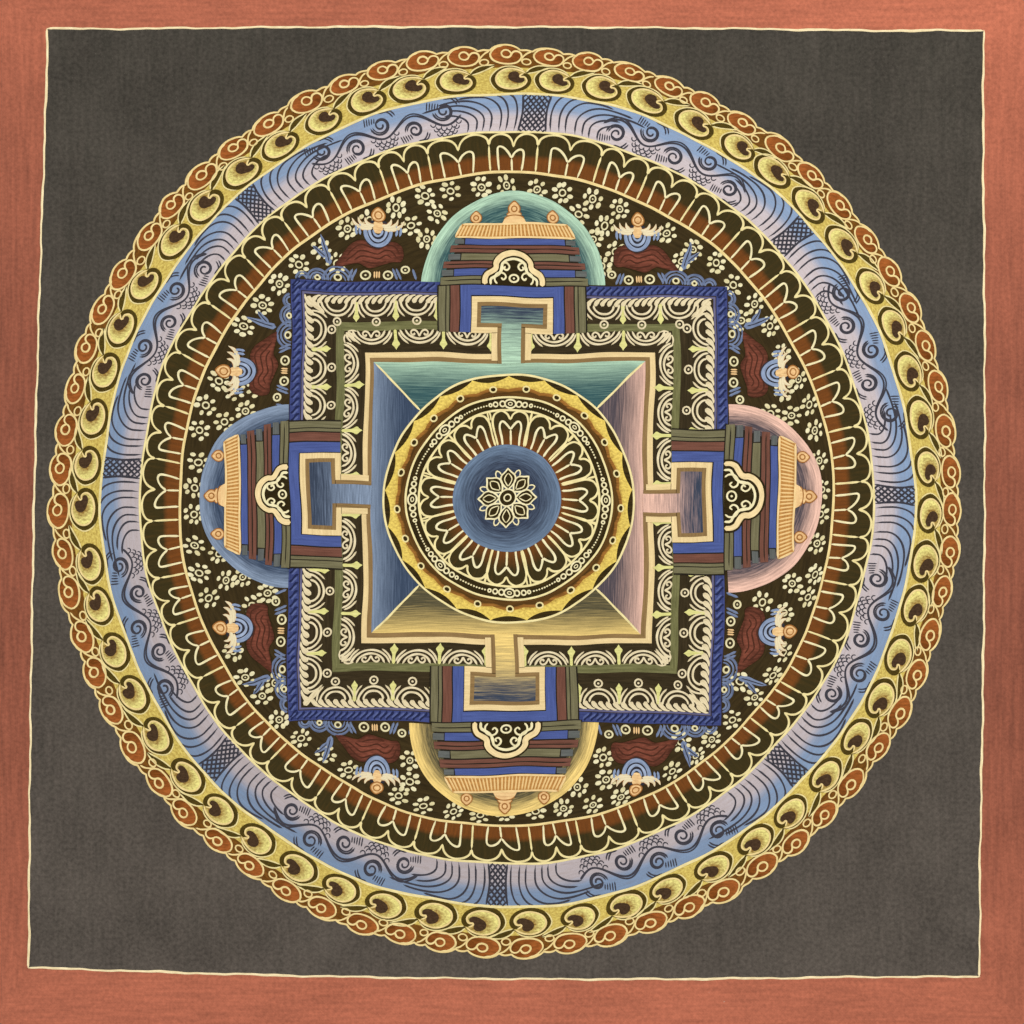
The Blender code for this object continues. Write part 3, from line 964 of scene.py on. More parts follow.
# Each kind of festoon: its wider and its narrower arc, the broken arc outside them, and half of its spear.
FESTOONS = {
    "broad": (
        ((-7.7, 0.3), (-6.2, -2.4), (-3.4, -4.5), (0, -5.2), (3.4, -4.5), (6.2, -2.4), (7.7, 0.3)),
        ((-5.6, 0.3), (-4.3, -2.0), (-2.2, -3.3), (0, -3.7), (2.2, -3.3), (4.3, -2.0), (5.6, 0.3)),
        ((8.3, -0.6), (7.4, -2.6), (6.1, -4.2), (4.3, -5.7)),
        ((0, 0.4), (0.62, -0.2), (0.58, -2.2), (0.75, -4.0), (1.6, -5.6), (0.7, -6.7), (0.0, -7.9))),
    "beaded": (
        ((-6.3, 1.2), (-5.6, -1.4), (-3.2, -4.0), (0, -4.9), (3.2, -4.0), (5.6, -1.4), (6.3, 1.2)),
        ((-4.1, 0.6), (-3.6, -1.2), (-2.0, -2.7), (0, -3.1), (2.0, -2.7), (3.6, -1.2), (4.1, 0.6)),
        ((7.7, 1.2), (7.2, -1.6), (6.2, -3.6), (4.4, -5.5)),
        ((0, 0.9), (0.75, 0.2), (0.62, -2.0), (0.75, -3.8), (1.35, -5.3), (0.6, -6.3), (0.0, -7.3))),
}
FESTOON_WIDTHS = {"broad": 18.6, "beaded": 15.6}
FESTOON_CURL = ((0.0, -2.9), (-0.4, -1.8), (-1.2, -0.6), (-2.4, -0.2), (-3.3, -1.0), (-3.0, -2.0),
                (-2.1, -2.1), (-1.9, -1.3))


def side_line(corners, side, steps=2):
    """One side of a square ring, from corner to corner clockwise, seen as the top side."""
    first, last = on_side(corners[[side, (side + 1) % 4]], -side)
    return blend(first, last, np.linspace(0, 1, steps)[:, None])


def on_line(corners, side, x):
    """The places on one side of a square ring that lie at the distances x along it."""
    first, last = side_line(corners, side)
    return xy(x, first[1] + (x - first[0]) * (last[1] - first[1]) / (last[0] - first[0]))


def square_band(outer, inner, level, paint, depth=0.5, rows=1):
    """Four mitred strips between two square rings, each brushed along its own side."""
    made = []
    for side in SIDES:
        grid = between(side_line(outer, side, 45), side_line(inner, side, 45), rows)
        made.append(patch(on_side(grid, side), level, paint, depth, grid + side * BAND_STREAKS))
    return made


def less(corners, step):
    """The corners of a square ring, drawn in by the same step both ways."""
    return corners - step * np.sign(corners)


def festoon_lines(side, corners, first, last, kind):
    """A row of three festoons on each side of a gate, in even steps from the gate to the corner: nested
    arcs, a broken arc outside them, and a spear before each. The broad kind has a pair of curls and the
    other a bead."""
    step = (last - first) / 3
    fit = (step / FESTOON_WIDTHS[kind], 1)

    def hung(line, start=0.5):
        away = first + step * (np.arange(3) + start)
        places = np.concatenate([GATE_SHIFTS[side] * (1 - away / last) + sign * away for sign in (1, -1)])
        where = on_line(corners, side, places).reshape(-1, *(1,) * (line.ndim - 1), 2)
        return on_side(where + line * fit, side)

    wider, narrower, broken, spear = FESTOONS[kind]
    spear = curve(spear, 14)
    spears = between(hung(spear, 0), hung(spear * (-1, 1), 0), 2)
    made = [stroke(hung(curve(wider, 21)), 0.84, 8, "leaf", 0.3, (0.8, 0.8)),
            stroke(hung(curve(narrower, 17)), 0.84, 8, "leaf", 0.3, (0.8, 0.8)),
            stroke(hung(mirrored(curve(broken, 9))), 0.74, 8, "leaf", 0.35, (0.5, 1.8)),
            patch(spears, 8.4, "spear", 0.35, rise=np.array((0, 0.06, 0)))]
    if kind == "broad":
        return made + [stroke(hung(mirrored(curve(FESTOON_CURL, 19))), 0.72, 8, "leaf", 0.3, (0.4, 0.4))]
    bead = (0.0, -7.3)
    return made + [stroke(hung(oval(bead, 1.5, 1.5, 13)), 0.68, 8, "leaf", 0.3, closed=True),
                   blot(hung(oval(bead, 0.5, 0.45, 8)), 8, "leaf", 0.3, dome=0.05)]


def corner_leaves(side):
    """A sheaf of leaf strokes along the diagonal of a corner, the middle one straight and the others
    flaring."""
    corner = side_line(OLIVE_INNER, side)[1]
    made = []
    for number, (line, width) in enumerate(SHEAF):
        leaf = curve(line, 11) * (-1, 1)
        for one in mirrored(leaf) if number else (leaf,):
            path = on_side(corner + turned(one, FULL_TURN / 8), side)
            made.append(stroke(path, width, 8.2, "leaf", 0.35, (0.6, 2.4)))
    return made


def row_places(corners, side, margins, pitch, gate_edge, jitter):
    """Even places along one side of a square ring, between two margins and clear of its gate."""
    first, last = side_line(corners, side)
    x = np.arange(first[0] + margins[0], last[0] - margins[1], pitch)
    x = x[np.abs(x - GATE_SHIFTS[side]) > gate_edge]
    return on_line(corners, side, x + uneven(jitter, len(x)))[:, None]


def palace():
    """The palace from its rope edge to the wall of the court. All of it lies on one dark square."""
    rope_inner = PALACE * 0.24 + LEAF_FOOT * 0.76
    bands = square_band(PALACE, less(COURT, 2.0), 6, "band dark", rows=8)
    bands += square_band(PALACE, rope_inner, 7, "rope", 0.45)
    bands += square_band(less(rope_inner, 0.35), less(rope_inner, 1.15), 7, "violet", 0.4)
    bands += square_band(OLIVE, OLIVE_INNER, 7, "olive", 0.4)
    lay("palace_bands", bands, paint_finish("brushed_band", 0.9, 0.10, 1.2, comb=0.4))

    twists, leaves, lines = [], [], []
    for side in SIDES:
        flip = (1 if side % 2 == 0 else -1, 1)
        row = row_places(PALACE, side, (2.4, 1.0), ROPE_PITCHES[side], POST_EDGE + 1.0, 0.14)
        for line, steps, width, level, paint, depth, end in ROPE_LINES:
            path = on_side(row + curve(line, steps) * flip, side)
            twists.append(stroke(path, width, level, paint, depth, (end, end), crown=0.04))
        lean = ROW_LEANS[side] * LEAF_PITCHES[side] / LEAF_WIDE
        row = row_places(LEAF_FOOT, side, (3.4, 3.0), LEAF_PITCHES[side], POST_EDGE - 0.5, 0.12)
        path = on_side(row + curve(ROW_LEAF, 13) * (lean, 1), side)
        leaves.append(stroke(path, LEAF_SWELL * abs(lean), 7.8, "leaf", 0.35, (0.2, 0.7), crown=0.12))
        tip = side_line(less(LEAF_FOOT, 0.9), side)[1]
        blade = turned(curve(((0, 0), (0, -4.0), (0.15, -9.4)), 13), FULL_TURN / 8)
        leaves.append(stroke(on_side(tip + blade, side), 2.0, 7.9, "leaf", 0.4, (0.8, 5.0)))
        lines += festoon_lines(side, less(LEAF_FOOT, LEAF_WIDE), POST_EDGE - 0.2, POST_EDGE + 47.4, "beaded")
        lines += festoon_lines(side, OLIVE_INNER, STEM_EDGE, STEM_EDGE + 56.4, "broad")
        lines += corner_leaves(side)
    lay("palace_rope_twists", twists, paint_finish("rope_shadow_lines", 0.4, 0.3, 1.2))
    lay("palace_leaf_rows", leaves, line_finish)
    lay("palace_festoons", lines, line_finish)


def court():
    """The court: a cream wall, a brown shade inside it, and four panels that meet on pale diagonals. A
    panel is light along the wall and sinks towards the middle."""
    wall_inner = WALL * 0.46 + COURT * 0.54
    bands = square_band(WALL, wall_inner, 7, "wall cream", 0.4)
    bands += square_band(wall_inner, COURT, 7, "wall shade", 0.45)
    lay("court_wall", bands, paint_finish("brushed_wall", 0.5, 0.1, 1.0, comb=0.15))
    panels, lines = [], []
    share = np.linspace(0, 1, 17)[:, None] ** 1.3 * 0.55
    for side, paint in enumerate(SIDE_PAINTS):
        outer = side_line(COURT, side, 45)
        centre = on_side(COURT_MIDDLE, -side)
        grid = blend(outer[:, None], centre, share)
        sink = np.clip((outer[:, None, 1] - grid[..., 1] - 0.4) / 11.0, 0, 1)
        panels.append(patch(on_side(grid, side), 7.2, paint, sink**0.62 * 0.95 + 0.05, grid))
        path = outer[-1] + (centre - outer[-1]) * np.linspace(0.01, 0.355, 14)[:, None]
        lines.append(stroke(on_side(path, side), 0.82, 7.8, "yellow cream", 0.2, (0.6, 0.2)))
    lay("court_panels", panels, paint_finish("court_wash", 0.45, 0.07, 2.1, grain=0.3, comb=0.32))
    lay("court_diagonals", lines, line_finish)


# ---- The four gates ----------------------------------------------------------------------------------------

STACK_BASES, STACK_HEIGHTS = (86.5, 86.7, 88.1, 87.6), (24.5, 28.2, 28.4, 26.0)
STACK_SHIFTS = (2.6, -1.6, 0.8, 2.8)
ARCH_SHIFTS, ARCH_SIZES = (1.8, -2.0, 0.6, 2.5), (1.0, 1.17, 1.08, 0.98)
GATE_COAT = 12
# From the gate outwards: each beam's start and end as shares of the stack, its half width at the start and
# the end, how far grey ends reach beyond it, and its paint.
BEAMS = (
    (0.00, 0.125, 29.4, 29.4, 0.0, "beam olive"),
    (0.135, 0.250, 24.0, 24.0, 5.0, "beam blue"),
    (0.265, 0.375, 28.6, 28.2, 0.0, "beam red"),
    (0.388, 0.500, 21.6, 21.4, 5.0, "beam olive"),
    (0.515, 0.635, 26.2, 25.8, 0.0, "beam red"),
    (0.645, 0.745, 20.2, 20.0, 4.2, "beam blue"),
    (0.760, 1.000, 24.4, 21.4, 0.0, "orange"),
)
POSTS = ((16.4, 20.5, "beam blue"), (21.0, 24.4, "beam red"), (24.9, 26.0, "beam olive"),
         (26.4, 29.0, "beam olive"))
POST_FOOT = (67.6, 65.6, 66.0, 66.6)
ROOF_START, ROOF_END, ROOF_HALF, ROOF_FAR_HALF, JEWEL_HALF = 0.765, 0.985, 24.4, 21.4, 2.1
ROOF_JEWELS = ((0.0, 5.4, 1.0), (-15.8, 2.2, 0.92), (15.8, 2.2, 0.92))  # place along the roof, height, size
DROP = ((0, -1.0), (-0.86, -0.55), (-1.0, 0.25), (-0.62, 0.85), (0, 1.3), (0.62, 0.85), (1.0, 0.25),
        (0.86, -0.55))
ARCH_HALF = ((-12.5, -0.3), (-12.4, 2.4), (-11.2, 4.6), (-9.2, 5.9), (-7.9, 6.9), (-7.8, 8.6), (-6.6, 10.8),
             (-4.0, 12.8), (0.0, 13.7))
ARCH_CURLS = (
    (((-6.5, 0.2), (-7.5, 1.5), (-7.3, 3.5), (-5.8, 4.7), (-3.9, 4.5), (-3.1, 3.1), (-4.1, 2.0),
      (-5.0, 2.9)), 26),
    (((-5.3, 4.3), (-5.0, 6.6), (-4.1, 8.6), (-2.6, 8.6), (-1.7, 7.2), (-2.6, 5.9), (-3.8, 6.4),
      (-3.2, 7.4)), 28))


def block(left, right, low, high, far=None, rows=2, steps=13):
    """A straight-sided panel between two heights. Its far edge may have another half width."""
    far_left, far_right = (left, right) if far is None else (-far, far)
    near_edge, far_edge = np.linspace(left, right, steps), np.linspace(far_left, far_right, steps)
    return between(xy(near_edge, low), xy(far_edge, high), rows)


def gates():
    """A gate on each side: four pairs of posts, a way in shaped like a T in the colour of its side, and over
    them a stack of beams, a tiled roof with three jewels and a cloud arch that stands before the beams."""
    flats, ways, lines, arches = [], [], [], []
    for side in SIDES:
        shift, foot, base, height = GATE_SHIFTS[side], POST_FOOT[side], STACK_BASES[side], STACK_HEIGHTS[side]
        lean, top, wall = STACK_SHIFTS[side] - shift, base + height, on_line(COURT, side, shift)[1]

        def at(shape, slide=0.0):
            return on_side(np.asarray(shape, float) + (shift + slide, 0), side)

        def panel(grid, level, paint, depth, along=False, slide=0.0, second=None):
            brush = (grid[..., ::-1] if along else grid) + side * GATE_STREAKS + level * COAT_STREAKS
            return patch(at(grid, slide), GATE_COAT + level, paint, depth, brush, second=second)

        def drawn(path, width, level, paint, depth, slide=0.0, **more):
            return stroke(at(path, slide), width, GATE_COAT + level, paint, depth, **more)

        flats.append(panel(block(-29.6, 29.6, foot, base), 0, "beam dark", 0.8))
        for near, far, paint in POSTS:
            for left, right in ((-far, -near), (near, far)):
                post = block(left, right, foot, base - 0.5, steps=5, rows=12)
                flats.append(panel(post, 0.3, paint, 0.45, True))
        flats += [panel(block(-16.6, 16.6, base - 4.4, base - 0.5), 0.4, "beam blue", 0.4),
                  panel(block(-16.1, 16.1, foot - 0.2, base - 4.9), 0.6, "wall cream", 0.35),
                  panel(block(-7.7, 7.7, wall + 1.1, foot, rows=4), 0.6, "wall cream", 0.35, True),
                  panel(block(-13.9, 13.9, foot + 2.0, base - 7.1), 0.8, "wall shade", 0.5),
                  panel(block(-5.4, 5.4, wall, foot + 2.2, rows=4), 0.8, "wall shade", 0.5, True)]
        room = block(-12.3, 12.3, foot + 3.6, base - 8.7, rows=10, steps=21)
        stem = block(-3.8, 3.8, wall - 0.1, foot + 3.9, rows=12, steps=7)
        sink = np.clip((room[..., 1] - foot - 3.6) / (base - foot - 12.3), 0, 1)
        ways.append(panel(room, 1.1, SIDE_PAINTS[side], 0.55 + 0.45 * sink**0.5, second="way in"))
        sink = np.clip((stem[..., 1] - wall) / (foot + 3.9 - wall), 0, 1)
        ways.append(panel(stem, 1.05, SIDE_PAINTS[side], 0.05 + 0.45 * sink**1.6, second="way in"))

        behind = block(-30.0, 30.0, base - 0.3, base + 0.75 * height, 21.5, rows=4)
        flats.append(panel(behind, 0.5, "beam dark", 0.7, slide=lean))
        for start, end, near, far, grey, paint in BEAMS:
            low, high = base + start * height, base + end * height - 0.15
            if grey:
                for left, right in ((-near - grey, -near - 0.35), (near + 0.35, near + grey)):
                    stub = block(left, right, low + 0.2, high - 0.2, steps=4)
                    flats.append(panel(stub, 0.9, "beam grey", 0.4, slide=lean))
            elif paint != "orange":
                rule = xy(np.linspace(-near + 0.7, near - 0.7, 24), (low + high) / 2 + 0.1)
                lines.append(drawn(rule, 0.42, 1.2, "beam dark", 0.8, lean, ends=(1, 1), crown=LOW_CROWN))
            flats.append(panel(block(-near, near, low, high, far, steps=25), 1.0, paint, 0.45, slide=lean))
        low, high = base + ROOF_START * height, base + ROOF_END * height
        roof = block(-ROOF_HALF, ROOF_HALF, low, high, ROOF_FAR_HALF, rows=5, steps=33)
        tiles = roof[1:-1] + uneven(0.12, 31, 1, 2) * (1, 0)
        lines.append(drawn(tiles, 0.66, 1.4, "roof cream", 0.5, lean, ends=(0.1, 0.1), crown=0.05))
        for rim in (roof[:, 0], roof[:, -1], roof[0], roof[-1]):
            lines.append(drawn(rim, 0.8, 1.6, "roof cream", 0.1, lean, ends=(0.1, 0.1)))

        for slide, lift, size in ROOF_JEWELS:
            jewel, size, slide = np.array((0.0, top + lift)), JEWEL_HALF * size, slide + lean
            drop, swirl = curve(DROP, 30, True), oval(jewel, size * 0.52, size * 0.52, 13)
            lines += [blot(at(jewel + drop * size * 1.22, slide), GATE_COAT + 1.4, "orange", 1.0),
                      blot(at(jewel + drop * size, slide), GATE_COAT + 1.8, "peach", dome=0.08),
                      drawn(swirl, 0.5, 3.8, "orange", 1.0, slide, closed=True, crown=LOW_CROWN)]
            if slide == lean:
                plinth = block(-4.9, 4.9, top - 0.2, top + 1.5, 4.0, rows=1)
                flats.append(panel(plinth, 1.5, "peach", 0.3, slide=lean))
                for wide, foot_height in ((3.9, 1.5), (3.0, 3.0)):
                    collar = oval((0, top + foot_height), wide, 1.5, 17, turn=-FULL_TURN / 2, start=np.pi)
                    lines += [blot(at(collar, lean), GATE_COAT + 1.5, "peach", 0.4),
                              drawn(collar, 0.45, 1.7, "orange", 1.0, lean, ends=(0.4, 0.4), crown=LOW_CROWN)]

        arch = curve(ARCH_HALF + tuple((-x, y) for x, y in ARCH_HALF[-2::-1]), 70)
        size, slide = ARCH_SIZES[side], ARCH_SHIFTS[side] - shift

        def up(line, step=0.0):
            line = line + step * leftwards(line) if step else line
            return line * size + (0, base)

        arches += [blot(at(up(arch, 0.5), slide), GATE_COAT + 3.2, "lens dark", 0.9),
                   drawn(up(arch, -1.05), 2.1, 3.6, "wall cream", 0.08, slide, ends=(0.05, 0.05), crown=0.05),
                   drawn(up(arch, -3.3), 1.05, 3.6, "cream", 0.2, slide, ends=(0.05, 0.05))]
        for curl in ARCH_CURLS:
            arches.append(drawn(up(mirrored(curve(*curl))), 0.72, 3.7, "cream", 0.2, slide))
        ring, dot = up(oval((0, 2.6), 1.75, 1.5, 17)), up(oval((0, 2.6), 0.42, 0.42, 8))
        arches += [drawn(ring, 0.72, 3.8, "cream", 0.2, slide, closed=True),
                   blot(at(dot, slide), GATE_COAT + 3.8, "cream", 0.2, dome=0.05)]
    lay("gate_panels", flats, paint_finish("brushed_beam", 0.6, 0.09, 1.3, comb=0.22))
    lay("gate_ways_in", ways, paint_finish("gate_wash", 0.6, 0.09, 1.7, grain=0.3, comb=0.5))
    lay("gate_roofs_and_jewels", lines, line_finish)
    lay("gate_arches", arches, line_finish)


# ---- The middle --------------------------------------------------------------------------------------------

MIDDLE_RINGS, DISC, DISC_RADIUS = (0.45, 1.40), (-0.55, 1.15), 21.5
SMALL_FOOT, SMALL_EDGE, ROSETTE_PETALS, SMALL_PETALS = 19.0, 35.9, 8, 12
BEAD_RING, BEAD_EDGES, LARGE_BEADS = 38.2, (35.7, 40.8), 8
GARLAND_FOOT, GARLAND_TOP, GARLAND_EDGE, GARLAND_DIPS, GARLAND_BEAD_RING = 44.0, 49.35, 49.7, 21, 44.4
# Beads on either side of a large one: how far away, their two half axes, and the width of their line.
BEADS = ((0.0, 2.3, 1.7, 0.7), (3.4, 1.1, 1.1, 0.64), (6.1, 0.95, 0.95, 0.6), (8.3, 0.6, 0.65, 0.56))
SMALL_LOBE = ((-5.2, 20.5), (-6.2, 24.5), (-7.5, 29.0), (-7.7, 31.2), (-6.9, 33.7), (-4.1, 35.2),
              (-1.4, 34.1), (0.0, 31.6))
SMALL_BEHIND = ((8.1, 30.9), (8.4, 32.6), (8.9, 34.1), (9.7, 34.8))
SMALL_INNER = ((-3.1, 20.5), (-3.5, 24.0), (-4.4, 28.2), (-4.1, 30.4), (-2.9, 30.9), (-1.2, 29.3),
               (0.0, 27.6))
ROSETTE_SIDE = ((0, 3.3), (-1.5, 4.6), (-2.9, 6.8), (-2.7, 8.9), (-1.2, 10.4), (0.0, 11.8))
ROSETTE_VEIN = ((0, 4.4), (-0.9, 5.8), (-1.5, 7.4), (-0.9, 8.9), (0.0, 9.9))
ROSETTE_TIP = ((-2.6, 9.2), (-3.6, 10.6), (-5.0, 10.9))


def moved(fill):
    """A patch drawn about the mandala's middle, moved to the middle of the inner rings."""
    return {**fill, "grid": fill["grid"] + MIDDLE_RINGS}


def middle_lotus():
    """The small lotus: twelve petals with a pair of lobes each and a line like an M inside, about a red foot.
    A petal is drawn upright, y from the middle, and turned to its place."""
    angle = spaced(SMALL_PETALS, 0.02) + 0.02

    def placed(line):
        wide = 1 + uneven(0.05, SMALL_PETALS, *(1,) * (line.ndim - 1))
        return turned(line * xy(wide, 1.0), angle.reshape(wide.shape)) + MIDDLE_RINGS

    depth = np.clip((np.linspace(SMALL_FOOT, SMALL_EDGE, 10) - 20.0) / 9.0, 0, 1)
    ground = ring_ground(SMALL_FOOT, SMALL_EDGE, 8, "petal red", depth, rows=9, second="petal dark",
                         brush_out=True)
    lay("middle_lotus_ground", [moved(ground)], paint_finish("brushed_small_petal", 0.25, 0.2, 1.1, comb=0.3))
    leg = xy(0.0, np.linspace(27.8, 20.5, 8))
    ends = (0.3, 0.3)
    lines = [stroke(placed(mirrored(curve(SMALL_LOBE, 28))), 0.80, 9, "yellow cream", 0.15, ends),
             stroke(placed(mirrored(curve(SMALL_BEHIND, 9))), 0.62, 8.8, "yellow cream", 0.3, ends),
             stroke(placed(mirrored(curve(SMALL_INNER, 24))), 0.86, 9, "cream", 0.15, ends),
             stroke(placed(leg), 0.80, 9.1, "cream", 0.2, ends)]
    lay("middle_lotus_lines", lines, line_finish)


def bead_and_garland_rings():
    """Round the small lotus: a dark ring of beads that shrink away from eight large ones, a brown ring, and a
    gilded garland. The garland's outer edge touches the rim in 21 points and dips in an arc between them."""
    angle = np.linspace(0, FULL_TURN, GARLAND_DIPS * 16 + 1)
    dip = np.abs(np.sin(GARLAND_DIPS * angle / 2))
    low, high = GARLAND_FOOT + 0.9 * dip, GARLAND_TOP - 2.15 * dip**0.8
    foot, inner, outer, rim = (polar(reach, angle) for reach in (low - 1.3, low, high, GARLAND_EDGE))
    fills = [ring_ground(*BEAD_EDGES, 8, "lens dark", 0.75, rows=1),
             ring_ground(40.6, GARLAND_EDGE, 8, "ring brown", 0.55),
             patch(between(foot, inner, 2), 8.5, "garland shade", np.array((0.5, 0.1, 0.0))),
             patch(between(outer, rim), 8.4, "lens dark", 0.6)]
    gilt = patch(between(inner, outer, 3), 8.8, "garland", np.array((0.75, 0.2, 0.15, 0.1)),
                 rise=np.array((0, 0.05, 0.05, 0)))
    finish = paint_finish("brushed_ring", 1.0, 0.07, 1.3, comb=0.5)
    lay("middle_ring_grounds", [moved(fill) for fill in fills], finish)
    finish = paint_finish("garland_paint", 1.0, 0.8, 1.1, grain=0.5, gloss=0.4, comb=0.4)
    lay("gilded_garland", [moved(gilt)], finish)

    def beads(turn, wide, high, steps, radius=BEAD_RING):
        return oval(polar(radius, turn) + MIDDLE_RINGS, wide, high, steps, -turn)

    lines = [stroke(ring_line(radius, 241) + MIDDLE_RINGS, width, 9, "yellow cream", 0.2, closed=True)
             for radius, width in zip((*BEAD_EDGES, GARLAND_EDGE + 0.1), (0.86, 0.82, 0.85))]
    turn = spaced(GARLAND_DIPS, 0.05, 0.5)
    rings, dots = (beads(turn, *half, GARLAND_BEAD_RING) for half in ((1.32, 1.15, 15), (1.2, 1.05, 11)))
    lines += [stroke(rings, 0.62, 9.2, "yellow cream", 0.3, closed=True), blot(dots, 9.0, "lens dark", 0.7)]
    large = np.arange(LARGE_BEADS) * FULL_TURN / LARGE_BEADS + uneven(0.03, LARGE_BEADS)
    for away, wide, high, width in BEADS:
        turn = (large[:, None] + np.unique((-away, away)) / BEAD_RING).ravel()
        turn = turn + uneven(0.006, len(turn)) if away else turn
        lines.append(stroke(beads(turn, wide, high, 15), width, 9, closed=True))
    away = np.arange(10.1, 15.4, 1.15)
    turn = (large[:, None] + np.concatenate([away, -away]) / BEAD_RING).ravel()
    lines += [blot(beads(turn, 0.42, 0.36, 7), 9, "cream", 0.3, dome=0.04),
              stroke(beads(large, 0.85, 0.6, 11), 0.4, 9, "cream", 0.3, closed=True)]
    lay("middle_ring_lines", lines, line_finish)


def middle_disc():
    """The blue disc, sinking to a dark middle, with a plain rosette on it: eight petals about a ringed
    dot."""
    rho = np.array((0.0, 0.3, 0.5, 0.62, 0.72, 0.80, 0.87, 0.93, 1.0))
    angle = np.linspace(0, FULL_TURN, 73)[:, None]
    sink = np.clip((1 - rho - 0.02) / 0.42, 0, 1)
    grid, brush = polar(rho, angle) * DISC_RADIUS + DISC, xy(angle, rho) * DISC_RADIUS
    fill = patch(grid, 11.6, "disc blue", sink**0.75, brush)
    lay("middle_disc", [fill], paint_finish("disc_wash", 0.6, 0.09, 1.6, grain=0.3, comb=0.45))
    turn = np.arange(ROSETTE_PETALS) * FULL_TURN / ROSETTE_PETALS

    def placed(line):
        return turned(line, turn.reshape(-1, *(1,) * (line.ndim - 1))) + DISC

    side = curve(ROSETTE_SIDE, 20)
    petal = placed(np.concatenate([side, (side * (-1, 1))[-2::-1]]))
    vein, tip = (placed(mirrored(curve(*line))) for line in ((ROSETTE_VEIN, 14), (ROSETTE_TIP, 8)))
    lines = [blot(petal, 11.9, "lens dark", 0.75),
             stroke(petal, 0.62, 12.4, "cream", 0.2, (0.2, 0.2)),
             stroke(vein, 0.42, 12.4, "cream", 0.3, (0.3, 0.3)),
             blot(oval(DISC, 3.4, 3.4, 31), 12.2, "lens dark", 0.8),
             stroke(oval(DISC, 3.3, 3.3, 31), 0.6, 12.6, "cream", 0.2, closed=True),
             stroke(oval(DISC, 1.35, 1.35, 17), 0.5, 12.6, "cream", 0.2, closed=True),
             stroke(tip, 0.5, 12.3, "cream", 0.3, (0.3, 0.8))]
    lay("middle_rosette", lines, line_finish)


# ---- Offerings and scrolls along the palace wall -----------------------------------------------------------

# Places are along the wall from the gate, and outwards from the rope edge. Fingers, neck and jewel are
# measured from the offering's own middle.
OFFERING_PLACE = 51.9
FOLDS = ((42.1, 10.4), (43.0, 14.4), (46.4, 16.4), (50.7, 14.8), (55.0, 15.9), (58.8, 16.5), (62.3, 14.7),
         (65.0, 11.3), (68.6, 6.0), (63.6, 6.7), (59.2, 7.4), (55.2, 5.3), (50.7, 6.4), (46.2, 7.8),
         (43.2, 8.0))
PLEATS = (
    ((43.6, 10.8), (45.4, 14.2), (48.6, 14.6), (51.4, 13.1), (55.0, 13.9), (58.6, 14.7), (61.6, 12.6),
     (63.8, 10.1)),
    ((44.6, 9.5), (46.6, 12.2), (49.2, 12.6), (52.0, 11.1), (55.4, 11.9), (58.6, 12.4), (61.2, 10.4),
     (64.4, 8.0)),
    ((46.6, 9.5), (48.8, 10.6), (51.6, 9.1), (55.0, 9.9), (58.2, 10.2), (60.8, 8.7)),
    ((48.6, 8.1), (51.6, 7.3), (55.2, 7.6), (58.0, 8.5)))
FINGERS = (((1.4, 22.6), (3.2, 22.5), (4.6, 23.8), (5.0, 25.6)),
           ((1.8, 21.9), (4.8, 22.0), (6.9, 23.4), (7.7, 25.5)),
           ((2.0, 21.2), (5.6, 21.2), (8.6, 22.6), (10.1, 24.9)))
NECK = ((-1.7, 20.4), (-1.5, 24.0), (1.5, 24.0), (1.7, 20.4), (0.0, 19.4))
JEWEL = ((0, 24.0), (-2.0, 24.9), (-2.5, 26.7), (-1.7, 28.4), (0, 29.6), (1.7, 28.4), (2.5, 26.7),
         (2.0, 24.9))
PLUMES = ((((70.4, 6.4), (71.2, 10.2), (72.6, 14.2), (73.8, 18.2)), 2.5),
          (((71.6, 9.4), (74.2, 11.6), (77.2, 13.8)), 2.0))
BOWL_ARCS = ((4.9, 6.0, 1.5, 0.45), (3.2, 4.1, 1.05, 0.15), (1.7, 2.2, 0.85, 0.3))  # half axes, line, depth
WALL_RINGS = ((41.2, 4.9, 1.5), (48.0, 2.5, 1.7), (56.6, 2.6, 1.8), (67.4, 1.9, 1.25), (75.2, 1.3, 0.95))
WALL_BANDS = ((42.6, 44.9), (44.2, 46.3), (62.4, 59.8), (63.8, 61.4), (36.6, 38.4))  # start and end
WALL_SCROLLS = ((67.4, (5.6, 4.2, 2.9)), (75.2, (4.2, 2.9, 1.9)), (81.2, (2.7, 1.6)))  # middle, radii
SCROLL_LINES = ((1.0, 2.8, 0.45), (0.75, 3.0, 0.2), (0.6, 3.2, 0.45))  # width, coat, depth


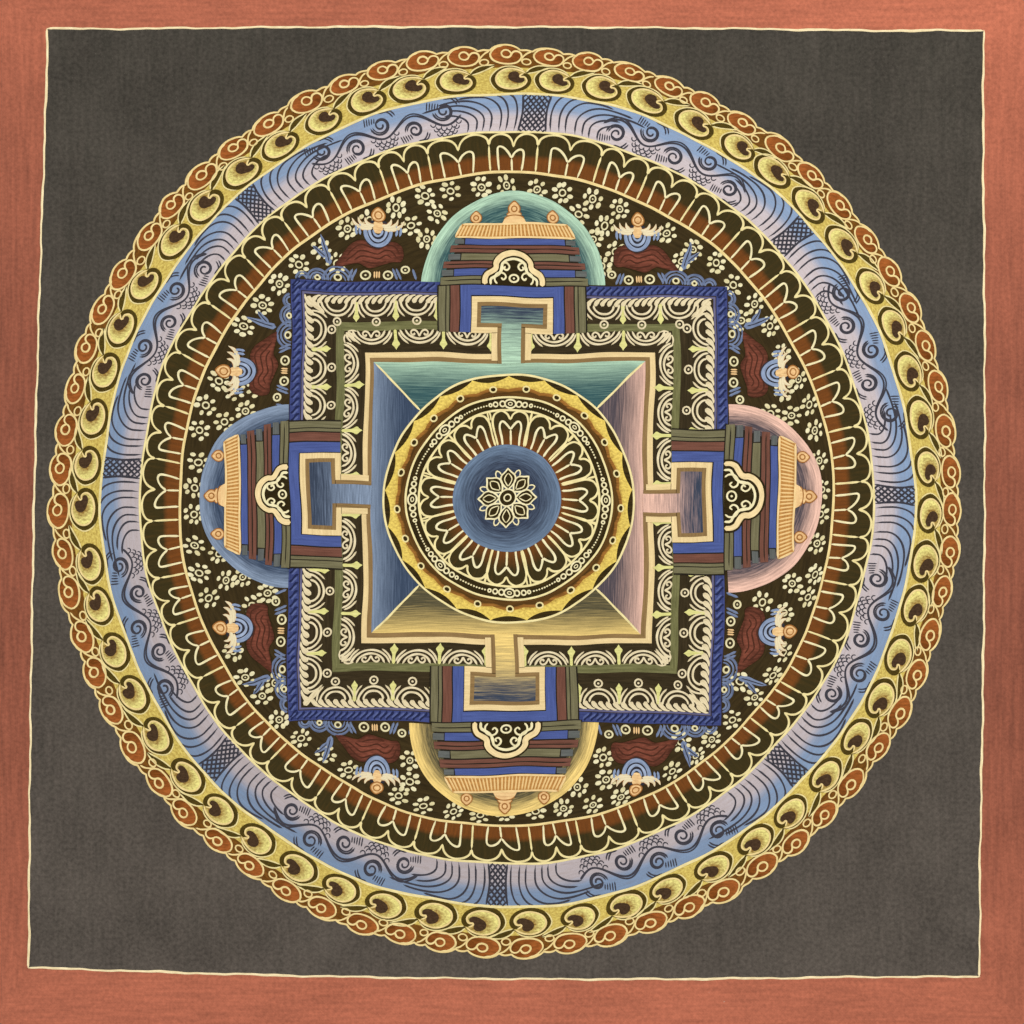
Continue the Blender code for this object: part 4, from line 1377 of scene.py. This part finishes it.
def offerings():
    """A generic offering on each side of each gate, mirrored left for right: a folded red cloud, a bowl of
    nested arcs, a jewel and two sprays of leaflets, with rings, bars and blue-grey scrolls along the wall."""
    fills, lines, scrolls = [], [], []
    place = (OFFERING_PLACE, 0)
    slim = np.sin(np.linspace(0.25, 1, 12) * np.pi) ** 0.7
    folds, neck, jewel = curve(FOLDS, 64, True), curve(NECK, 22, True) + place, curve(JEWEL, 30, True) + place
    for side, sign in ((side, sign) for side in SIDES for sign in (-1, 1)):
        wander = uneven(0.7, 2)

        def at(shape):
            x, y = np.moveaxis(shape, -1, 0)
            along = x * sign + GATE_SHIFTS[side] * (1 - x / 80)
            return on_side(xy(along + wander[0], y + on_line(PALACE, side, along)[..., 1]), side)

        def drawn(path, *coat, **more):
            return stroke(at(path), *coat, **more)

        fills += [blot(at(folds * (1.014, 1.05) - (0.7, 0.6)), 3.6, "lens dark", 0.9),
                  blot(at(folds), 4.2, "cloud base", np.array((0.15, 0.25, 0.35, 0.6, 0.95)), steps=4),
                  blot(at(oval((OFFERING_PLACE, 19.2), 5.5, 5.9, 25)), 4.6, "navy", 0.9),
                  blot(at(neck), 5.4, "peach", 0.35),
                  blot(at(jewel), 5.9, "peach", dome=0.08)]
        for pleat in PLEATS:
            pleat = curve(pleat, 22)
            lines.append(drawn(pleat, 0.55, 4.8, "cloud base", 1.0, (1.2, 1.2), crown=LOW_CROWN))
        for wide, high, width, depth in BOWL_ARCS:
            arc = oval((OFFERING_PLACE, 20.6), wide, high, 23, start=np.pi * 0.97, turn=np.pi * 1.06)
            lines.append(drawn(arc, width, 5.0, "bowl blue", depth))
        for away in (-8.3, -6.9, 6.9, 8.3):
            post = curve(xy(np.array((0.98, 1.04, 0.98)) * away, (23.2, 20.9, 18.4)) + place, 7)
            lines.append(drawn(post, 0.95, 5.0, "bowl blue", 0.5))
        eye = oval((OFFERING_PLACE, 26.6), 1.35, 1.4, 15)
        lines += [drawn(eye, 0.5, 7.6, "orange", 0.9, closed=True, crown=LOW_CROWN),
                  drawn(jewel, 0.45, 7.4, "orange", 1.0, closed=True, crown=LOW_CROWN)]
        for finger in (finger for line in FINGERS for finger in mirrored(curve(line, 12))[::-1] + place):
            lines += [drawn(finger, 1.9 * slim, 5.0, "orange", 1.0, (0.3, 0.6), crown=LOW_CROWN),
                      drawn(finger, 1.45 * slim, 5.7, "leaf", 0.25, (0.5, 0.8))]
        for along, lift, size in WALL_RINGS:
            ring = oval((along, lift), size, size * 0.9, 17)
            lines.append(drawn(ring, 0.72, 3.6, "flower", 0.3, closed=True))
            if size > 1.4:
                lines.append(blot(at(oval((along, lift), 0.45, 0.4, 8)), 3.6, "flower", 0.3, dome=0.05))
        for along in (51.4, 52.3, 53.2):
            lines.append(drawn(xy(along, np.linspace(1.2, 4.1, 6)), 0.62, 3.0, "peach", 0.4, (0.3, 0.3)))

        for start, end in WALL_BANDS:
            band = xy(np.linspace(start, end, 7), np.linspace(0.6, 5.4, 7))
            scrolls.append(drawn(band, 0.95, 2.8, "slate", 0.25))
        for along, sizes in WALL_SCROLLS:
            for size, (width, level, depth) in zip(sizes, SCROLL_LINES):
                arc = oval((along, 0.3), size, size * 1.02, 19, turn=np.pi)
                scrolls.append(drawn(arc, width, level, "slate", depth))
        for plume, wide in PLUMES:
            spine = curve(plume, 12)
            scrolls += [drawn(spine, wide * slim, 3.2, "slate", 0.1, (0.6, 1.6)),
                        drawn(spine[1:-1], 0.42, 5.4, "navy", 0.6, (0.5, 1.0), crown=0.02)]
    lay("offering_fills", fills, paint_finish("offering_paint", 0.7, 0.3, 1.2, comb=0.4))
    lay("offering_lines", lines, line_finish)
    lay("wall_scrolls", scrolls, paint_finish("blue_grey_scroll", 0.7, 0.25, 1.2, comb=0.3))


# ---- The studio --------------------------------------------------------------------------------------------

LENS, SENSOR = 50.0, 36.0
VIEW_WIDTH = 0.4096  # the part of the sheet that the frame takes in, in metres
CAMERA_HEIGHT = VIEW_WIDTH * LENS / SENSOR + SHEET_THICKNESS
FLOOR_HALF, FLOOR_DROP, FLOOR_LUMPS = 3.0, 0.0002, 14.0
FLOOR_PALE, FLOOR_SHADE = (0.74, 0.74, 0.72), (0.68, 0.68, 0.66)
SKY_STRENGTH = 0.55
# Each light's place and size in metres, and its watts.
LIGHTS = {"key": ((0.45, 0.55, 1.25), 1.2, 11.0), "fill": ((-0.8, -0.3, 1.1), 1.0, 2.0)}


def add_object(name, data, place):
    """An object with its data, at a place."""
    made = bpy.data.objects.new(name, data)
    bpy.context.scene.collection.objects.link(made)
    made.location = place
    return made


def studio():
    """A pale floor under the sheet, soft square lights that face the sheet's middle, an even sky, and the
    camera straight overhead."""
    material, shader, where = new_finish("pale_floor")
    colour = mixed(material, noise(material, where, FLOOR_LUMPS, 4.0), FLOOR_PALE, FLOOR_SHADE)
    feed(material, shader, {"Base Color": colour, "Roughness": 0.75})
    corners = FLOOR_HALF * np.array(((-1, -1, 0), (1, -1, 0), (1, 1, 0), (-1, 1, 0))) - (0, 0, FLOOR_DROP)
    new_object("floor", corners, [(0, 1, 2, 3)], material)

    for name, (place, size, watts) in LIGHTS.items():
        lamp = bpy.data.lights.new(name, "AREA")
        lamp.size, lamp.energy = size, watts
        add_object(name, lamp, place).rotation_euler = (-Vector(place)).to_track_quat("-Z", "Y").to_euler()
    world = bpy.data.worlds.new("sky")
    bpy.context.scene.world = world
    world.use_nodes = True
    sky = world.node_tree.nodes["Background"].inputs
    sky["Color"].default_value, sky["Strength"].default_value = (1.0, 1.0, 1.0, 1.0), SKY_STRENGTH

    lens = bpy.data.cameras.new("camera")
    lens.lens, lens.sensor_width = LENS, SENSOR
    bpy.context.scene.camera = add_object("camera", lens, (0.0, 0.0, CAMERA_HEIGHT))
    bpy.context.scene.view_settings.view_transform = "Standard"


# ---- Everything in the order it is painted -----------------------------------------------------------------

canvas, plan = cotton_sheet()
red_border(plan)
charcoal_ground()
frame_line()
line_finish = paint_finish("brushed_cream_line", 0.45, 0.25, 1.4, grain=0.22, weave=0.25)
for paint_part in (cloud_ring, flame_ring, wave_ring, lotus_ring, flower_field, haloes, palace, court, gates,
                   middle_lotus, bead_and_garland_rings, middle_disc, offerings):
    paint_part()

studio()
